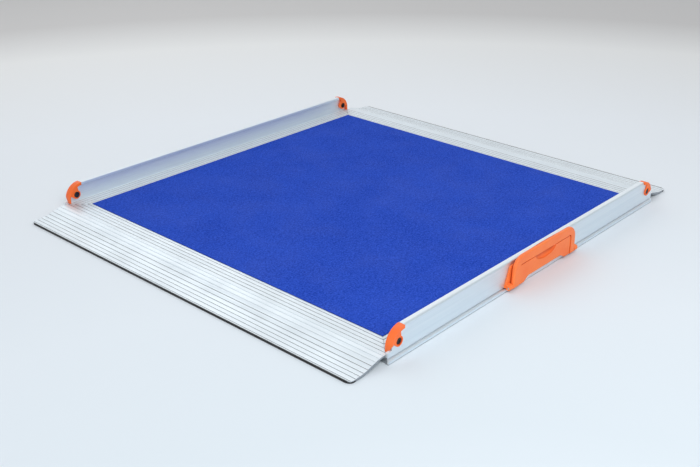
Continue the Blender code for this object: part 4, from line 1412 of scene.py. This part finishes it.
def woodCore():
    # light board, its grain along the ramp
    made, tree, place = newFinish("woodCore")
    lines = useGroup(tree, drawnLines, {"Vector": mapped(tree, place, (1, 0.35, 0.35))})
    share = addTimes(tree, multiply(tree, lines["Lines"], 0.4), lines["Bands"], 0.6)
    rough = remap(tree, lines["Lines"], 0, 1, board["smooth"], board["rough"])
    colour = layered(tree, board, "light", {"dark": share})
    return dress(made, board, colour, rough, lines["Height"])


finishes = {
    "rail": drawnAluminium("railAluminium", drawnRail),
    "lip": drawnAluminium("lipAluminium", drawnLip),
    "deck_skin": rolledAluminium("sheetAluminium", 0),
    "corner_key": rolledAluminium("barAluminium", quarter),
    "deck_core": woodCore(),
    "grip_surface": blueGrit(),
    "steel_fastener": fastenerMetal("zincSteel", zinc),
    "black_fastener": fastenerMetal("blackSteel", blackCoat),
    "lip_rubber": blackRubber(),
    "cap": orangePlastic("cap"),
    "handle": orangePlastic("handle"),
}


def finishFor(slot, name):
    if slot == "frame_aluminium":
        return finishes["rail" if "rail" in name else "lip"]
    if slot == "orange_plastic":
        return finishes["cap" if "cap" in name.lower() else "handle"]
    return finishes[slot]


for node, piece in frame["nodes"].items():
    for slot in piece.material_slots:
        slot.material = finishFor(slotOf[node], node)
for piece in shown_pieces():
    if "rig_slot" in piece:
        piece.data.materials.clear()
        piece.data.materials.append(finishFor(piece["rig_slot"], piece.name))
print("finishes done")


# Floor, light and camera

studio = {
    # floor colours by distance from one spot: a painted pool of light
    "floor": ((0.16, (0.72, 0.80, 0.86)), (0.25, (0.79, 0.86, 0.92)), (0.475, (0.86, 0.91, 0.96)),
              (0.65, (0.87, 0.89, 0.895)), (0.75, (0.66, 0.66, 0.66))),
    "floorLightSpot": (-0.9, -1.0, 0.0),
    "floorLightReach": 4.0,
    "floorSize": 30.0,
    "floorRough": 0.85,
    "floorShine": 0.2,
    "walls": (0.76, 0.765, 0.775),
    "wallsEnd": 0.65,
    "overhead": (0.25, 0.255, 0.265),
    "overheadStart": 0.92,
    "room": (0.49, 0.495, 0.505),
    "roomSide": (0.6, -0.8, 0.0),
    "window": (0.83, 0.835, 0.84),
    "windowSide": (0.8, 0.6, 0.0),
    "sideSpread": (0.2, 0.9),    # how squarely a side is faced, from none to all of its colour
    "level": 1.0,
}
lamps = {
    "key": {"place": (-1.0, -1.5, 1.5), "size": 1.2, "power": 22.0},
    "back": {"place": (0.5, 1.5, 1.8), "size": 1.8, "power": 8.5},
    "side": {"place": (5.0, 0.4, 3.2), "size": 2.6, "power": 12.0},
}
camera = {
    "place": (-1.32915, -1.16662, 0.76980),
    "yaw": 0.7324,
    "pitch": 0.4378,
    "roll": 0.0037,
    "lens": 51.52,
    "film": 36.0,
}


def makeFloor():
    # pale paper with a painted pool of light: its colour changes with distance from one spot, greyer far
    # behind the ramp
    startFresh()
    bpy.ops.mesh.primitive_plane_add(size=studio["floorSize"], location=(0, 0, -0.05 * mm))
    piece = bpy.context.object
    piece.name = "studioFloor"
    made, tree, place = newFinish("floorPaper")
    away = compare(tree, "DISTANCE", place, studio["floorLightSpot"])
    colour = colourRamp(tree, remap(tree, away, 0, studio["floorLightReach"]), studio["floor"])
    feed(tree, tree.nodes["Principled BSDF"], {
        "Base Color": colour, "Roughness": studio["floorRough"], "Specular IOR Level": studio["floorShine"]})
    piece.data.materials.append(made)


def makeWorld():
    # pale walls, less light from overhead and from one side, more from the window
    world = bpy.data.worlds.new("studio")
    bpy.context.scene.world = world
    world.use_nodes = True
    tree = world.node_tree
    direction = addNode(tree, "ShaderNodeTexCoord", {}).outputs["Generated"]
    stops = ((studio["wallsEnd"], studio["walls"]), (studio["overheadStart"], studio["overhead"]))
    colour = colourRamp(tree, splitUp(tree, direction)[2], stops)
    for side in ("room", "window"):
        toward = compare(tree, "DOT_PRODUCT", direction, studio[side + "Side"])
        colour = paintOver(tree, colour, studio[side], remap(tree, toward, *studio["sideSpread"]))
    feed(tree, tree.nodes["Background"], {"Color": colour, "Strength": studio["level"]})


def makeLamp(name, place, size, power):
    startFresh()
    bpy.ops.object.light_add(type="AREA", location=place)
    lamp = bpy.context.object
    lamp.name = name + "Light"
    lamp.data.size = size
    lamp.data.energy = power
    lamp.rotation_euler = Vector(place).to_track_quat("Z", "Y").to_euler()


def makeCamera():
    data = bpy.data.cameras.new("photoCamera")
    data.lens = camera["lens"]
    data.sensor_width = camera["film"]
    holder = bpy.data.objects.new("photoCamera", data)
    bpy.context.scene.collection.objects.link(holder)
    turn = Matrix.Rotation(camera["yaw"] - quarter, 4, "Z")
    tilt = Matrix.Rotation(quarter - camera["pitch"], 4, "X")
    roll = Matrix.Rotation(camera["roll"], 4, "Z")
    holder.matrix_world = Matrix.Translation(camera["place"]) @ turn @ tilt @ roll
    bpy.context.scene.camera = holder


makeFloor()
makeWorld()
for name, lamp in lamps.items():
    makeLamp(name, **lamp)
makeCamera()
bpy.context.scene.view_settings.view_transform = "Standard"
print("stage done")
